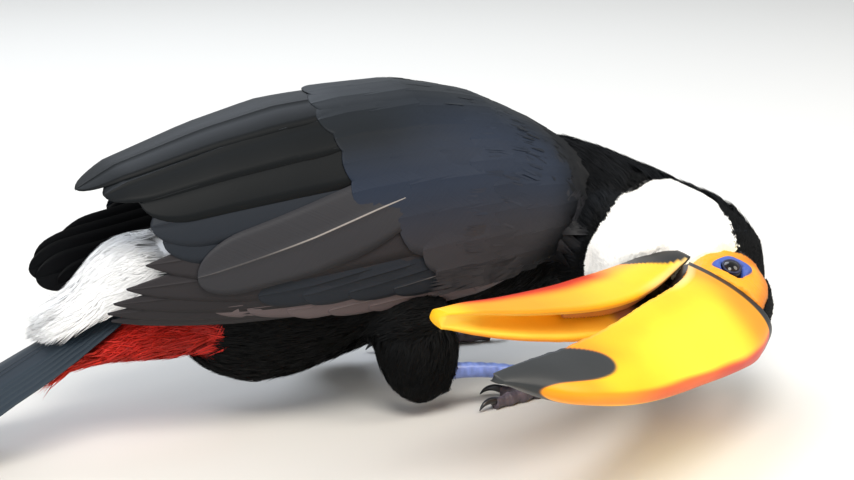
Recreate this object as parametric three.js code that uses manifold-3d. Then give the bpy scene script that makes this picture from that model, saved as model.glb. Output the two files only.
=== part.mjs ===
// A toco toucan at life size, crouched, with its neck bent round to its right, that cheek turned up and its bill open.
// Millimetres, +Z up. The bird's own frame has +X towards the breast, +Y towards its left side and the floor at Z 0.
// The group is moved at the end so that its origin is the middle of its footprint, on the floor.
import * as THREE from "three";
import { mergeVertices } from "three/addons/utils/BufferGeometryUtils.js";
import Module from "manifold-3d";

const wasm = await Module();
wasm.setup();

// Driving dimensions.
const GAP = 0.3; // clearance between neighbouring solids
const SIMPLER = 0.13; // small facets within this of a plainer surface are merged
const PLATE_GAP = 0.7; // the same about wings and tail, whose grown shapes are only near offsets
const BILL_LENGTH = 194; // from its base line to the hook, along the head's own axis
const BILL_HALF_WIDTH = 20.5; // at the gape
const UPPER_BILL_HEIGHT = 48; // tomium to culmen at the base
const LOWER_BILL_DEPTH = 19; // at the base
const JAW_OPEN = THREE.MathUtils.degToRad(12.5);
const FACE_SLANT = THREE.MathUtils.degToRad(11); // the forehead reaches less far forward than the gape
const JAW_HINGE = { forward: -22, up: 2 };
const HEAD_ORIGIN = [70.6, -97.8, 54.3]; // the middle of the bill's base, level with the gape
const HEAD_FORWARD = [-0.783, -0.619, 0.066];
const HEAD_UP = [0.558, -0.746, -0.364];
const EYE = { forward: -16, side: 19.6, up: 18.1, radius: 6.3 };
const TAIL_ROOT = [-142, 0, 69];
const TAIL_SLOPE = THREE.MathUtils.degToRad(25.5);
const TAIL_LENGTH = 158;
const WING_THICKNESS = 3.4;
const FOOT = { x: 29, side: 49, ankle: 9 };

const COLOURS = {
  black: 0x16181b,
  white: 0xf2f1ec,
  red: 0xb5190f,
  yellow: 0xf7a11a,
  orange: 0xf0700e,
  tongue: 0xb78a86,
  eye: 0x1a0f0a,
  leg: 0x7d8fb8,
  foot: 0x6d6470,
  tail: 0x2c3742,
};

/** A value on the smooth curve through evenly spaced values, at t from 0 to 1. */
function smooth(values, t) {
  const last = values.length - 1;
  const place = Math.min(Math.max(t, 0), 1) * last;
  const i = Math.min(Math.floor(place), last - 1);
  const f = place - i;
  const at = (k) => values[Math.min(Math.max(k, 0), last)];
  const [a, b, c, d] = [at(i - 1), at(i), at(i + 1), at(i + 2)];
  return b + 0.5 * f * (c - a + f * (2 * a - 5 * b + 4 * c - d + f * (3 * (b - c) + d - a)));
}

/** A value read from a table of [key, value] rows, straight between rows and held at its ends. */
function along(rows, key) {
  const rising = rows[0][0] < rows[rows.length - 1][0] ? rows : [...rows].reverse();
  if (key <= rising[0][0]) return rising[0][1];
  for (let i = 1; i < rising.length; i++) {
    const [k0, v0] = rising[i - 1];
    const [k1, v1] = rising[i];
    if (key <= k1) return THREE.MathUtils.lerp(v0, v1, (key - k0) / (k1 - k0));
  }
  return rising[rising.length - 1][1];
}

/** A closed solid from its corners and faces, turned to face outwards. */
function solid(corners, faces) {
  let volume = 0;
  for (const [a, b, c] of faces) volume += corners[a].dot(corners[b].clone().cross(corners[c]));
  const turned = volume < 0 ? faces.map(([a, b, c]) => [a, c, b]) : faces;
  const geometry = new THREE.BufferGeometry();
  geometry.setAttribute("position", new THREE.Float32BufferAttribute(corners.flatMap((p) => p.toArray()), 3));
  geometry.setIndex(turned.flat());
  const merged = mergeVertices(geometry, 1e-4);
  return new wasm.Manifold(
    new wasm.Mesh({
      numProp: 3,
      vertProperties: merged.attributes.position.array,
      triVerts: new Uint32Array(merged.index.array),
    }),
  );
}

/** A solid skinned over rings of equally many corners, each end closed by triangles. */
function skinned(rings) {
  const sides = rings[0].length;
  const faces = [];
  for (let i = 0; i + 1 < rings.length; i++) {
    for (let j = 0; j < sides; j++) {
      const [a, b] = [i * sides + j, i * sides + ((j + 1) % sides)];
      faces.push([a, b, b + sides], [a, b + sides, a + sides]);
    }
  }
  [0, rings.length - 1].forEach((end) => {
    const ring = rings[end];
    const across = ring[0].clone().sub(ring[Math.floor(sides / 2)]).normalize();
    const normal = new THREE.Vector3();
    ring.forEach((p, j) => normal.add(p.clone().sub(ring[0]).cross(ring[(j + 1) % sides].clone().sub(ring[0]))));
    const other = normal.normalize().clone().cross(across);
    const flat = ring.map((p) => new THREE.Vector2(p.dot(across), p.dot(other)));
    const cap = THREE.ShapeUtils.triangulateShape(flat, []);
    cap.forEach(([a, b, c]) => {
      const turn = flat[b].clone().sub(flat[a]).cross(flat[c].clone().sub(flat[a])) > 0;
      const ordered = turn === (end === 0) ? [a, c, b] : [a, b, c];
      faces.push(ordered.map((k) => end * sides + k));
    });
  });
  return solid(rings.flat(), faces);
}

/** A rounded body along a smooth line. Stations are [x, y, z, half width, height above, depth below]. */
function loft(stations, { steps = 24, sides = 24, grow = 0, up = [0, 0, 1], square = 2.15 } = {}) {
  const centre = (t) => new THREE.Vector3(...[0, 1, 2].map((k) => smooth(stations.map((s) => s[k]), t)));
  const radius = (k, t) => smooth(stations.map((s) => s[k]), t) + grow;
  const rings = [];
  for (let i = 0; i <= steps; i++) {
    const t = i / steps;
    const ahead = centre(Math.min(t + 0.01, 1)).sub(centre(Math.max(t - 0.01, 0))).normalize();
    const across = ahead.clone().cross(new THREE.Vector3(...up)).normalize();
    const above = across.clone().cross(ahead);
    const middle = centre(t).addScaledVector(ahead, grow * (2 * t - 1));
    rings.push(
      Array.from({ length: sides }, (_, j) => {
        const angle = (2 * Math.PI * j) / sides;
        const [c, s] = [Math.cos(angle), Math.sin(angle)];
        const round = (v) => Math.sign(v) * Math.abs(v) ** (2 / square);
        return middle
          .clone()
          .addScaledVector(across, radius(3, t) * round(c))
          .addScaledVector(above, radius(s > 0 ? 4 : 5, t) * round(s));
      }),
    );
  }
  return skinned(rings);
}

/** A round limb through points [x, y, z, radius]. */
function limb(points, { steps = 4, sides = 6, grow = 0, up = [0, 0, 1] } = {}) {
  return loft(points.map(([x, y, z, r]) => [x, y, z, r, r, r]), { steps, sides, grow, up, square: 2 });
}

/** A curved plate: its outer face is surface(u, v) and it is thick(u, v) deep on the inner side. */
function plate(surface, thick, across, down) {
  const at = (i, j) => surface(i / across, j / down);
  const outer = [];
  const inner = [];
  for (let i = 0; i <= across; i++) {
    for (let j = 0; j <= down; j++) {
      const du = at(Math.min(i + 1, across), j).sub(at(Math.max(i - 1, 0), j));
      const dv = at(i, Math.min(j + 1, down)).sub(at(i, Math.max(j - 1, 0)));
      const normal = du.cross(dv).normalize();
      outer.push(at(i, j));
      inner.push(at(i, j).addScaledVector(normal, thick(i / across, j / down)));
    }
  }
  const n = (across + 1) * (down + 1);
  const id = (i, j, side) => i * (down + 1) + j + side * n;
  const faces = [];
  for (let i = 0; i < across; i++) {
    for (let j = 0; j < down; j++) {
      faces.push([id(i, j, 0), id(i + 1, j, 0), id(i + 1, j + 1, 0)], [id(i, j, 0), id(i + 1, j + 1, 0), id(i, j + 1, 0)]);
      faces.push([id(i, j, 1), id(i + 1, j + 1, 1), id(i + 1, j, 1)], [id(i, j, 1), id(i, j + 1, 1), id(i + 1, j + 1, 1)]);
    }
  }
  const rim = (i, j, k, l) => faces.push([id(i, j, 0), id(k, l, 1), id(k, l, 0)], [id(i, j, 0), id(i, j, 1), id(k, l, 1)]);
  for (let i = 0; i < across; i++) {
    rim(i, 0, i + 1, 0);
    rim(i + 1, down, i, down);
  }
  for (let j = 0; j < down; j++) {
    rim(0, j + 1, 0, j);
    rim(across, j, across, j + 1);
  }
  return solid([...outer, ...inner], faces);
}

/** The largest separate body of a solid, without slivers left by a cut. */
function whole(shape) {
  return shape.decompose().sort((a, b) => b.volume() - a.volume())[0];
}

/** The solid without the others. */
function without(shape, ...others) {
  return whole(others.reduce((left, other) => left.subtract(other), shape));
}

/** Everything under the floor, as a cutter. */
function underFloor() {
  const geometry = new THREE.BoxGeometry(900, 900, 60);
  geometry.translate(0, 0, -30);
  geometry.deleteAttribute("normal");
  geometry.deleteAttribute("uv");
  const merged = mergeVertices(geometry);
  return new wasm.Manifold(
    new wasm.Mesh({
      numProp: 3,
      vertProperties: merged.attributes.position.array,
      triVerts: new Uint32Array(merged.index.array),
    }),
  );
}

// The head's own frame: x forward along the bill, y to the bird's left, z to its crown.
const headForward = new THREE.Vector3(...HEAD_FORWARD).normalize();
const headUp = new THREE.Vector3(...HEAD_UP);
headUp.addScaledVector(headForward, -headUp.dot(headForward)).normalize();
const headLeft = headUp.clone().cross(headForward);
const headMatrix = new THREE.Matrix4().makeBasis(headForward, headLeft, headUp).setPosition(...HEAD_ORIGIN);
const toBird = (shape) => shape.transform(headMatrix.elements);
const toHead = (shape) => shape.transform(headMatrix.clone().invert().elements);

/** The lower jaw's solid turned open about its hinge, in the head's frame. */
function openJaw(shape) {
  const turn = new THREE.Matrix4()
    .makeTranslation(JAW_HINGE.forward, 0, JAW_HINGE.up)
    .multiply(new THREE.Matrix4().makeRotationY(JAW_OPEN))
    .multiply(new THREE.Matrix4().makeTranslation(-JAW_HINGE.forward, 0, -JAW_HINGE.up));
  return shape.transform(turn.elements);
}

/** The feathered trunk, from under the rump to the root of the neck. */
function trunkShape(grow = 0) {
  return loft(
    [
      [-152, 0, 78, 8, 5, 6],
      [-128, 0, 78, 31, 24, 42],
      [-100, 0, 77, 43.5, 47, 61],
      [-68, 0, 79, 49, 60, 58],
      [-34, 0, 81, 50.5, 63, 52],
      [2, 0, 82, 48, 57, 50],
      [36, 0, 80, 41, 43.5, 46],
      [66, 0, 78, 33.5, 34, 39],
      [92, 0, 75, 21, 22, 26],
      [104, 0, 74, 8, 8, 9],
    ],
    { steps: 18, sides: 20, grow },
  );
}

/** The bent neck and the full white bib in the crook of it. */
function neckShape(grow = 0) {
  const tube = loft(
    [
      [36, 0, 80, 37, 37.5, 36],
      [68, -2, 77, 36, 38.5, 36],
      [95, -14, 70, 34.5, 34, 33],
      [112, -35, 64, 33, 31, 32],
      [116, -58, 59, 32.5, 30.5, 30],
      [108, -80, 54, 27, 26, 25],
      [98, -94, 49, 12, 12, 12],
    ],
    { steps: 11, sides: 14, grow },
  );
  const bib = loft(
    [
      [60, -92, 57, 6, 5, 5],
      [66, -80, 60, 20, 19, 17],
      [79, -56, 64, 31, 27, 27],
      [80, -30, 68, 33, 27, 28],
      [72, -4, 72, 20, 18, 18],
    ],
    { steps: 9, sides: 12, grow },
  );
  return tube.add(bib);
}

/** The feathered skull, cheeks and chin, in the head's frame. */
function skullShape(grow = 0) {
  const skull = loft(
    [
      [-64, 0, 6, 7, 8, 8],
      [-53, 0, 9, 19, 21, 20],
      [-38, 0, 12, 24, 30, 27],
      [-22, 0, 14, 24.5, 31, 28],
      [-8, 0, 16, 22.5, 30.5, 22],
      [1, 0, 18, 20.5, 28.5, 19],
    ],
    { steps: 10, sides: 16, grow, square: 2.3 },
  );
  const [forward, up] = [Math.cos(FACE_SLANT), Math.sin(FACE_SLANT)];
  const face = skull.trimByPlane([-forward, 0, -up], -forward - grow);
  const chin = loft(
    [
      [-44, 0, -4, 16, 12, 14],
      [-22, 0, -10, 18, 11, 13],
      [-4, 0, -15, 13.5, 8, 9],
      [9, 0, -20, 8, 4, 4.5],
      [17, 0, -22, 3, 1.5, 2],
    ],
    { steps: 8, sides: 12, grow },
  );
  return face.add(chin);
}

// Outlines of the bill in side view, each from the base at 0 to the tip at 1, in the head's frame.
const culmen = (s) => smooth([48, 49.5, 48.3, 45.5, 42, 38.5, 34.5, 29, 21, 9.5, -12], s);
const tomium = (s) => smooth([1.5, 5.5, 6.5, 5.5, 4.2, 3, 1.6, -1, -5, -10.5, -17], s);
const billHalfWidth = (s) =>
  smooth([20.5, 20.3, 19.6, 18.6, 17.3, 15.8, 14, 11.8, 9.2, 6.4, 1.6], s) * (BILL_HALF_WIDTH / 20.5);
const lowerRim = (s) => smooth([-1, 2.5, 6.5, 9.5, 11, 11, 9.5, 6.5, 2.5, -3, -8], s);
const lowerHalfWidth = (s) =>
  smooth([18, 14.8, 12.6, 10.8, 9.6, 8.8, 8.2, 7.5, 6.6, 5.4, 3.4], s) * (BILL_HALF_WIDTH / 20.5);
const lowerDepth = (s) => smooth([19, 22.5, 25.5, 27.5, 28, 26.5, 24, 20.5, 16.5, 12, 7], s) * (LOWER_BILL_DEPTH / 19);
// The upper mandible's section: how much its flanks draw in towards the culmen, and how round they are.
const billDrawIn = (s) => smooth([0.12, 0.34, 0.46, 0.46, 0.44, 0.4, 0.35, 0.3, 0.25, 0.22, 0.22], s);
const billRoundness = (s) => smooth([0.6, 0.75, 0.88, 0.92, 0.92, 0.88, 0.85, 0.8, 0.8, 0.8, 0.8], s);

/** The upper mandible, with a shallow palate. */
function upperBillShape() {
  const rings = [];
  const steps = 14;
  for (let i = 0; i <= steps; i++) {
    const s = i / steps;
    const [w, low, high] = [billHalfWidth(s), tomium(s), culmen(s) * (UPPER_BILL_HEIGHT / 48)];
    const slant = Math.tan(FACE_SLANT) * (1 - s) ** 3;
    const ring = [];
    for (let j = 0; j <= 12; j++) {
      const angle = (Math.PI * j) / 12;
      const narrow = 1 - billDrawIn(s) * Math.sin(angle) ** 2;
      const side = -w * Math.sign(Math.cos(angle)) * Math.abs(Math.cos(angle)) ** billRoundness(s) * narrow;
      ring.push([side, low + (high - low) * Math.sin(angle) ** 0.9]);
    }
    for (let j = 1; j < 4; j++) {
      const angle = Math.PI * (1 - j / 4);
      ring.push([-0.86 * w * Math.cos(angle), low + 0.12 * (high - low) * Math.sin(angle)]);
    }
    rings.push(ring.map(([side, up]) => new THREE.Vector3(s * BILL_LENGTH - up * slant, side, up)));
  }
  return skinned(rings);
}

/** The lower mandible: a tapering trough, in the head's frame with the jaw shut. */
function lowerBillShape(grow = 0) {
  const rings = [];
  const steps = 14;
  const reach = 0.885; // it stops short of the upper's hook
  for (let i = 0; i <= steps; i++) {
    const s = (i / steps) * reach;
    const [w, high] = [lowerHalfWidth(s / reach) + grow, lowerRim(s / reach) + grow];
    const depth = lowerDepth(s / reach) + 2 * grow;
    const wall = Math.min(3, 0.34 * w);
    const ring = [];
    for (let j = 0; j <= 8; j++) {
      const angle = (Math.PI * j) / 8;
      ring.push([w * Math.sign(Math.cos(angle)) * Math.abs(Math.cos(angle)) ** 0.55, high - depth * Math.sin(angle) ** 0.85]);
    }
    for (let j = 0; j <= 4; j++) {
      const angle = Math.PI * (1 - j / 4);
      ring.push([(w - wall) * Math.cos(angle), high - 0.3 - 0.55 * depth * Math.sin(angle)]);
    }
    rings.push(ring.map(([side, up]) => new THREE.Vector3(s * BILL_LENGTH - 18 * (1 - i / steps), side, up)));
  }
  return skinned(rings);
}

/** The long thin tongue, lying along the lower mandible with the jaw shut. */
function tongueShape() {
  return loft(
    [
      [2, 0, -6, 5, 1.6, 1.6],
      [32, 0, 0, 4.4, 1.3, 1.3],
      [62, 0, 2, 3.6, 1.1, 1.1],
      [92, 0, 0.5, 2.2, 0.9, 0.9],
    ],
    { steps: 10, sides: 8 },
  );
}

/** An eyeball, in the head's frame. */
function eyeShape(side, grow = 0) {
  const geometry = new THREE.SphereGeometry(EYE.radius + grow, 12, 8);
  geometry.translate(EYE.forward, side * EYE.side, EYE.up);
  const place = geometry.getAttribute("position");
  const corners = Array.from({ length: place.count }, (_, i) => new THREE.Vector3().fromBufferAttribute(place, i));
  const faces = [];
  const index = geometry.index.array;
  for (let i = 0; i < index.length; i += 3) faces.push([index[i], index[i + 1], index[i + 2]]);
  return solid(corners, faces);
}

// The folded wing lies on an outer envelope of rounded sections: rows of [x, value].
const WING_MIDDLE = [[70, 82], [0, 84], [-87, 82], [-200, 84]];
const WING_REACH = [[72, 39.5], [45, 49], [0, 57], [-40, 58], [-87, 55], [-120, 50], [-160, 42], [-200, 31]];
const WING_RISE = [[72, 36], [56, 42.5], [20, 58], [-20, 66.5], [-57, 67], [-87, 64.5], [-120, 56], [-160, 42.5], [-182, 30], [-200, 20]];
const WING_FALL = [[72, 34], [0, 50], [-87, 52], [-200, 40]];
// Its outline from the top edge (0) to the lower edge (1): where it starts and ends along X, and its lowest angle.
const WING_FRONT = [[0, 44], [0.25, 60], [0.5, 69], [0.75, 60], [1, 34]];
const WING_BACK = [
  [0, -172], [0.1, -178], [0.16, -177], [0.26, -168], [0.36, -163], [0.45, -158], [0.6, -154],
  [0.72, -158], [0.84, -171], [0.9, -172], [1, -175],
];
const FAR_WING_BACK = [
  [0, -112], [0.2, -122], [0.4, -136], [0.55, -142], [0.68, -147], [0.73, -176], [0.8, -187],
  [0.86, -188], [0.93, -184], [1, -174],
];
const WING_LOWEST = [[70, 118], [34, 121], [5, 118], [-43, 126], [-93, 119], [-120, 113], [-150, 115], [-186, 121]];

/** A folded wing. Side is -1 for the right wing and 1 for the left one, which tucks in under the right at the top. */
function wingShape(side, grow = 0) {
  const right = side < 0;
  const first = right ? -4 : 9; // degrees from the top of the back
  const back = right ? WING_BACK : FAR_WING_BACK;
  const surface = (u, v) => {
    const x = THREE.MathUtils.lerp(along(WING_FRONT, v) + grow, along(back, v) - grow, u);
    const spread = 1.6 * grow; // degrees that a grown wing adds at both edges
    const angle = THREE.MathUtils.degToRad(THREE.MathUtils.lerp(first - spread, along(WING_LOWEST, x) + spread, v));
    const round = (value) => Math.sign(value) * Math.abs(value) ** 0.93;
    const lift = (right ? 0 : -2.5) + grow;
    const rise = along(Math.cos(angle) > 0 ? WING_RISE : WING_FALL, x) + lift;
    const reach = along(WING_REACH, x) + grow;
    return new THREE.Vector3(x, side * reach * round(Math.sin(angle)), along(WING_MIDDLE, x) + rise * round(Math.cos(angle)));
  };
  const edge = (t) => Math.min(1, 0.36 + 3.2 * Math.min(t, 1 - t));
  const thick = (u, v) => side * (WING_THICKNESS * edge(u) * edge(v) + 2 * grow);
  return plate(surface, thick, 17, 10);
}

/** The closed tail, a slightly arched plate with a rounded end, resting its tip on the floor. */
function tailShape(grow = 0) {
  const ahead = new THREE.Vector3(-Math.cos(TAIL_SLOPE), 0, -Math.sin(TAIL_SLOPE));
  const above = new THREE.Vector3(-Math.sin(TAIL_SLOPE), 0, Math.cos(TAIL_SLOPE));
  const surface = (u, v) => {
    const s = 2 * v - 1;
    const length = TAIL_LENGTH - 12 * Math.abs(s) ** 2.5 + grow;
    const width = smooth([14, 18, 21.5, 24.5, 27, 28.5, 28], u) + grow;
    return new THREE.Vector3(...TAIL_ROOT)
      .addScaledVector(ahead, u * length - grow)
      .addScaledVector(above, 1.5 - 4.5 * s * s + grow)
      .add(new THREE.Vector3(0, s * width, 0));
  };
  const thick = (u, v) => (1.4 + 1.8 * (1 - (2 * v - 1) ** 2) * (1 - 0.5 * u) + 2 * grow);
  return plate(surface, thick, 10, 8);
}

/** The white feathers that cover the root of the tail. */
function rumpShape(grow = 0) {
  return loft(
    [
      [-122, 0, 80, 22, 10, 16],
      [-136, 0, 76, 27, 17, 12],
      [-150, 1, 70, 27.5, 20, 7],
      [-164, 4, 62.5, 25.5, 15.5, 5],
      [-177, 8, 55.5, 19.5, 8, 4],
      [-191, 12, 48, 10, 3, 3],
    ],
    { steps: 11, sides: 14, grow },
  );
}

/** The red feathers under the root of the tail. */
function ventShape(grow = 0) {
  return loft(
    [
      [-108, 0, 48, 20, 14, 10],
      [-122, 0, 48, 25, 14, 15],
      [-142, 0, 47.5, 24, 12, 13],
      [-164, 0, 45, 20, 8, 8.5],
      [-182, 0, 41, 14, 5, 5],
      [-195, 0, 37, 4, 2, 2],
    ],
    { steps: 9, sides: 12, grow },
  );
}

/** The loose feathering of the tibia, hanging over the heel. */
function thighShape(side, grow = 0) {
  return loft(
    [
      [-34, side * 31, 66, 14, 14, 14],
      [-33, side * 36, 54, 15.5, 20, 20],
      [-31, side * 41, 39, 16, 22, 20.5],
      [-29, side * 43, 24, 15, 20, 18],
      [-27, side * 43.5, 13, 10.5, 14, 13],
      [-26, side * 44, 6.5, 4, 5, 5],
    ],
    { steps: 9, sides: 14, grow, up: [1, 0, 0] },
  );
}

/** The bare tarsus, folded forward almost flat. */
function tarsusShape(side, grow = 0) {
  return limb(
    [
      [-24, side * 44, 19, 4.6],
      [-10, side * 45.5, 19, 4],
      [6, side * 47, 17, 3.7],
      [20, side * 48.3, 13.5, 4.1],
      [FOOT.x, side * FOOT.side, FOOT.ankle + 1, 4.6],
    ],
    { steps: 6, sides: 8, grow },
  );
}

/** A foot with two toes forward and two back, each with its claw, flat underneath. */
function footShape(side) {
  // Each toe: heading in degrees from straight ahead, turned away from the body, and length.
  const toes = [
    { heading: -14, length: 31 },
    { heading: 16, length: 39 },
    { heading: 170, length: 26 },
    { heading: 214, length: 17 },
  ];
  const [x0, y0] = [FOOT.x + 2, side * (FOOT.side + 0.3)];
  let foot = limb([[x0 - 4, y0, 4, 4.2], [x0, y0, 4.2, 5.2], [x0 + 5, y0, 4, 4.2]], { steps: 4 });
  for (const { heading, length } of toes) {
    const angle = THREE.MathUtils.degToRad(heading);
    const [dx, dy] = [Math.cos(angle), side * Math.sin(angle)];
    const at = (r, z, radius) => [x0 + dx * r, y0 + dy * r, z, radius];
    foot = foot.add(limb([at(0, 4, 4), at(length * 0.5, 3, 3.4), at(length * 0.82, 3, 3.5), at(length, 2.6, 2.4)]));
    foot = foot.add(limb([at(length - 2, 4, 2), at(length + 4, 5, 1.7), at(length + 9, 1.6, 0.7)], { steps: 3, sides: 5 }));
  }
  return foot.subtract(underFloor());
}

/** A named mesh of one solid. */
function part(name, shape, colour, { roughness = 0.8, metalness = 0 } = {}) {
  const mesh = shape.simplify(SIMPLER).getMesh();
  const geometry = new THREE.BufferGeometry();
  geometry.setAttribute("position", new THREE.Float32BufferAttribute(mesh.vertProperties, 3));
  geometry.setIndex(new THREE.Uint32BufferAttribute(mesh.triVerts, 1));
  geometry.computeVertexNormals();
  const made = new THREE.Mesh(geometry, new THREE.MeshStandardMaterial({ color: colour, roughness, metalness }));
  made.name = name;
  return made;
}

const SIDES = [
  ["right", -1],
  ["left", 1],
];

// Head pieces, in the head's frame.
const openLower = openJaw(lowerBillShape());
const eyeSockets = SIDES.map(([, side]) => eyeShape(side, GAP));
const upperBill = upperBillShape();
const skull = without(skullShape(), ...eyeSockets);
const grownSkull = skullShape(GAP);
const head = new THREE.Group();
head.applyMatrix4(headMatrix);
head.add(part("head", skull, COLOURS.white));
head.add(part("bill_upper", without(upperBill, grownSkull), COLOURS.yellow, { roughness: 0.35 }));
head.add(part("bill_lower", without(openLower, grownSkull, upperBill), COLOURS.orange, { roughness: 0.35 }));
head.add(part("tongue", without(openJaw(tongueShape()), grownSkull), COLOURS.tongue, { roughness: 0.5 }));
for (const [name, side] of SIDES) {
  head.add(part("eye_" + name, eyeShape(side), COLOURS.eye, { roughness: 0.1 }));
}

// Body pieces, in the bird's frame. Plates keep their thickness, and what they lie against is cut back.
const wings = Object.fromEntries(SIDES.map(([name, side]) => [name, wingShape(side)]));
const grownWings = SIDES.map(([, side]) => wingShape(side, PLATE_GAP));
const grownTail = tailShape(PLATE_GAP);
const grownTarsi = SIDES.map(([, side]) => tarsusShape(side, GAP));
const headInBird = toBird(grownSkull);
const billInBird = toBird(upperBill.add(openJaw(lowerBillShape(GAP))));
const trunk = without(trunkShape(), ...grownWings, grownTail);
const neck = without(neckShape(), trunkShape(GAP), headInBird, billInBird, ...grownWings);
const tail = whole(tailShape().subtract(underFloor()));
const rump = without(rumpShape(), trunkShape(GAP), ...grownWings, grownTail);
const vent = without(ventShape(), trunkShape(GAP), rumpShape(GAP), ...grownWings, grownTail);

const bird = new THREE.Group();
bird.add(head);
bird.add(part("trunk", trunk, COLOURS.black));
bird.add(part("neck", neck, COLOURS.white));
bird.add(part("rump_coverts", rump, COLOURS.white));
bird.add(part("vent_coverts", vent, COLOURS.red));
bird.add(part("tail", tail, COLOURS.tail, { roughness: 0.6 }));
for (const [name, side] of SIDES) {
  const thigh = without(thighShape(side), trunkShape(GAP), ...grownWings, ...grownTarsi, underFloor());
  const foot = without(footShape(side), tarsusShape(side, GAP));
  bird.add(part("wing_" + name, wings[name], COLOURS.black, { roughness: 0.6 }));
  bird.add(part("thigh_" + name, thigh, COLOURS.black));
  bird.add(part("tarsus_" + name, tarsusShape(side), COLOURS.leg, { roughness: 0.5 }));
  bird.add(part("foot_" + name, foot, COLOURS.foot, { roughness: 0.6 }));
}

// The origin is the middle of the footprint.
const box = new THREE.Box3().setFromObject(bird, true);
bird.position.set(-(box.min.x + box.max.x) / 2, -(box.min.y + box.max.y) / 2, -box.min.z);
const toucan = new THREE.Group();
toucan.add(bird);

export default toucan;
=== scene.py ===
import logging
import math
from dataclasses import dataclass, field, replace
from enum import Enum
from functools import cache
from typing import Callable, ClassVar, Optional, Sequence

import bmesh
import bpy
import numpy as np
from mathutils import Matrix, Vector
from mathutils.bvhtree import BVHTree


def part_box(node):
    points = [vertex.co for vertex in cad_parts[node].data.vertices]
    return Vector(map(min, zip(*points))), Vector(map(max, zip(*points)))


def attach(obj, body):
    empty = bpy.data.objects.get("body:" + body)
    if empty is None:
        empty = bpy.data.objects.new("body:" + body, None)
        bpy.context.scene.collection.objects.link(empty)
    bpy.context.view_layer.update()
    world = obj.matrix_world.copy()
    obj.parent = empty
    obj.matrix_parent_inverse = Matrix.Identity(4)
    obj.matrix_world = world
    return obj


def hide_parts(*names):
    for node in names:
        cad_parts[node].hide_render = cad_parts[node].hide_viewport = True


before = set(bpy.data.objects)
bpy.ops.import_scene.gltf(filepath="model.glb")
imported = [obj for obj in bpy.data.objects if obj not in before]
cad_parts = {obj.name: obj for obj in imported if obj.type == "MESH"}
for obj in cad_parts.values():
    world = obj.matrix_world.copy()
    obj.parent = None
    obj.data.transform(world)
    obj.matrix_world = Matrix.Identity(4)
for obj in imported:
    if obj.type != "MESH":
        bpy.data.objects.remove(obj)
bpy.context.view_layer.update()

logging.basicConfig(level=logging.INFO, format="%(message)s")
LOG = logging.getLogger("toucan")

Array = np.ndarray
Piece, Mesh = bpy.types.Object, bpy.types.Mesh
Tree, Socket = bpy.types.NodeTree, bpy.types.NodeSocket
Chance = np.random.Generator
Spot = tuple[float, float]
Place = tuple[float, float, float]
Row = tuple[float, ...]
Surface = Callable[[Array, Array, Array], Array]
Table = tuple[tuple, ...]
SIDES = {-1: "right", 1: "left"}
BAKE_MAP = "OFBake"
VANE_MAP = "Vane"  # centimetres across a feather and along it
TINT = "plumage"  # the attribute that carries each piece's colours, painted shade and sheen included
PATCH = 0.003  # how wide a tuft lies on the bake map


# ---------------- small helpers


def linear(hex_colour: str) -> Array:
    """Turns an sRGB hex colour into linear light.

    Args:
        hex_colour: Six hex digits, such as "f0a010".

    Returns:
        Three linear values from 0 to 1.
    """
    srgb = np.array([int(hex_colour[i : i + 2], 16) for i in (0, 2, 4)]) / 255
    return np.where(srgb <= 0.04045, srgb / 12.92, ((srgb + 0.055) / 1.055) ** 2.4)


def unit(vectors: Array) -> Array:
    """Scales each row to length one."""
    return vectors / np.maximum(np.linalg.norm(vectors, axis=-1, keepdims=True), 1e-9)


def dot(a: Array, b: Array) -> Array:
    """The rows' dot products."""
    return (a * b).sum(-1)


def along_skin(ways: Array, normals: Array) -> Array:
    """Directions laid flat on a surface and scaled to length one."""
    return unit(ways - normals * dot(ways, normals)[:, None])


def blend(a: Array, b: Array, share: Array) -> Array:
    """Mixes rows of a and b by a share from 0 to 1 for each row."""
    return a + (b - a) * np.clip(share, 0, 1)[..., None]


def layered(start: str, *layers: tuple[str, Array]) -> Array:
    """Lays colours over each other.

    Args:
        start: The undermost colour.
        layers: Colours, each with its share from 0 to 1 at each place.

    Returns:
        A linear colour for each place.
    """
    paint = np.broadcast_to(linear(start), (*layers[0][1].shape, 3)).copy()
    for colour, share in layers:
        paint = blend(paint, linear(colour), share)
    return paint


def soft(value: Array, low: float, high: float) -> Array:
    """Rises smoothly from 0 at low to 1 at high."""
    t = np.clip((value - low) / (high - low), 0, 1)
    return t * t * (3 - 2 * t)


def smooth_curve(values: Sequence[float], t: Array) -> Array:
    """A value on the smooth curve through evenly spaced values.

    Args:
        values: Heights at even steps.
        t: Places along the curve, 0 to 1.

    Returns:
        The curve's height at each place.
    """
    v = np.asarray(values, float)
    last = len(v) - 1
    place = np.clip(t, 0, 1) * last
    i = np.minimum(np.floor(place).astype(int), last - 1)
    f = place - i
    a, b, c, d = (v[np.clip(i + k, 0, last)] for k in (-1, 0, 1, 2))
    return b + 0.5 * f * (c - a + f * (2 * a - 5 * b + 4 * c - d + f * (3 * (b - c) + d - a)))


def table_value(rows: Sequence[Sequence[float]], x: Array) -> Array:
    """Reads a table of (x, value) rows at x."""
    table = np.array(rows, float)
    return np.interp(x, table[:, 0], table[:, 1])


def wobble(points: Array, scale_mm: float, seed: int = 0) -> Array:
    """A smooth pattern from -1 to 1 through space, made of a few crossed waves.

    Args:
        points: Places in millimetres.
        scale_mm: About how far apart its humps are.
        seed: Picks the pattern.

    Returns:
        One value for each place.
    """
    rng = np.random.default_rng(seed)
    total = np.zeros(points.shape[:-1])
    for _ in range(6):
        way = unit(rng.normal(size=3)) * rng.uniform(0.6, 1.6) * 2 * math.pi / scale_mm
        total += np.sin(points @ way + rng.uniform(0, 6.3))
    return total / 3.2


# ---------------- where things are


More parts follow.
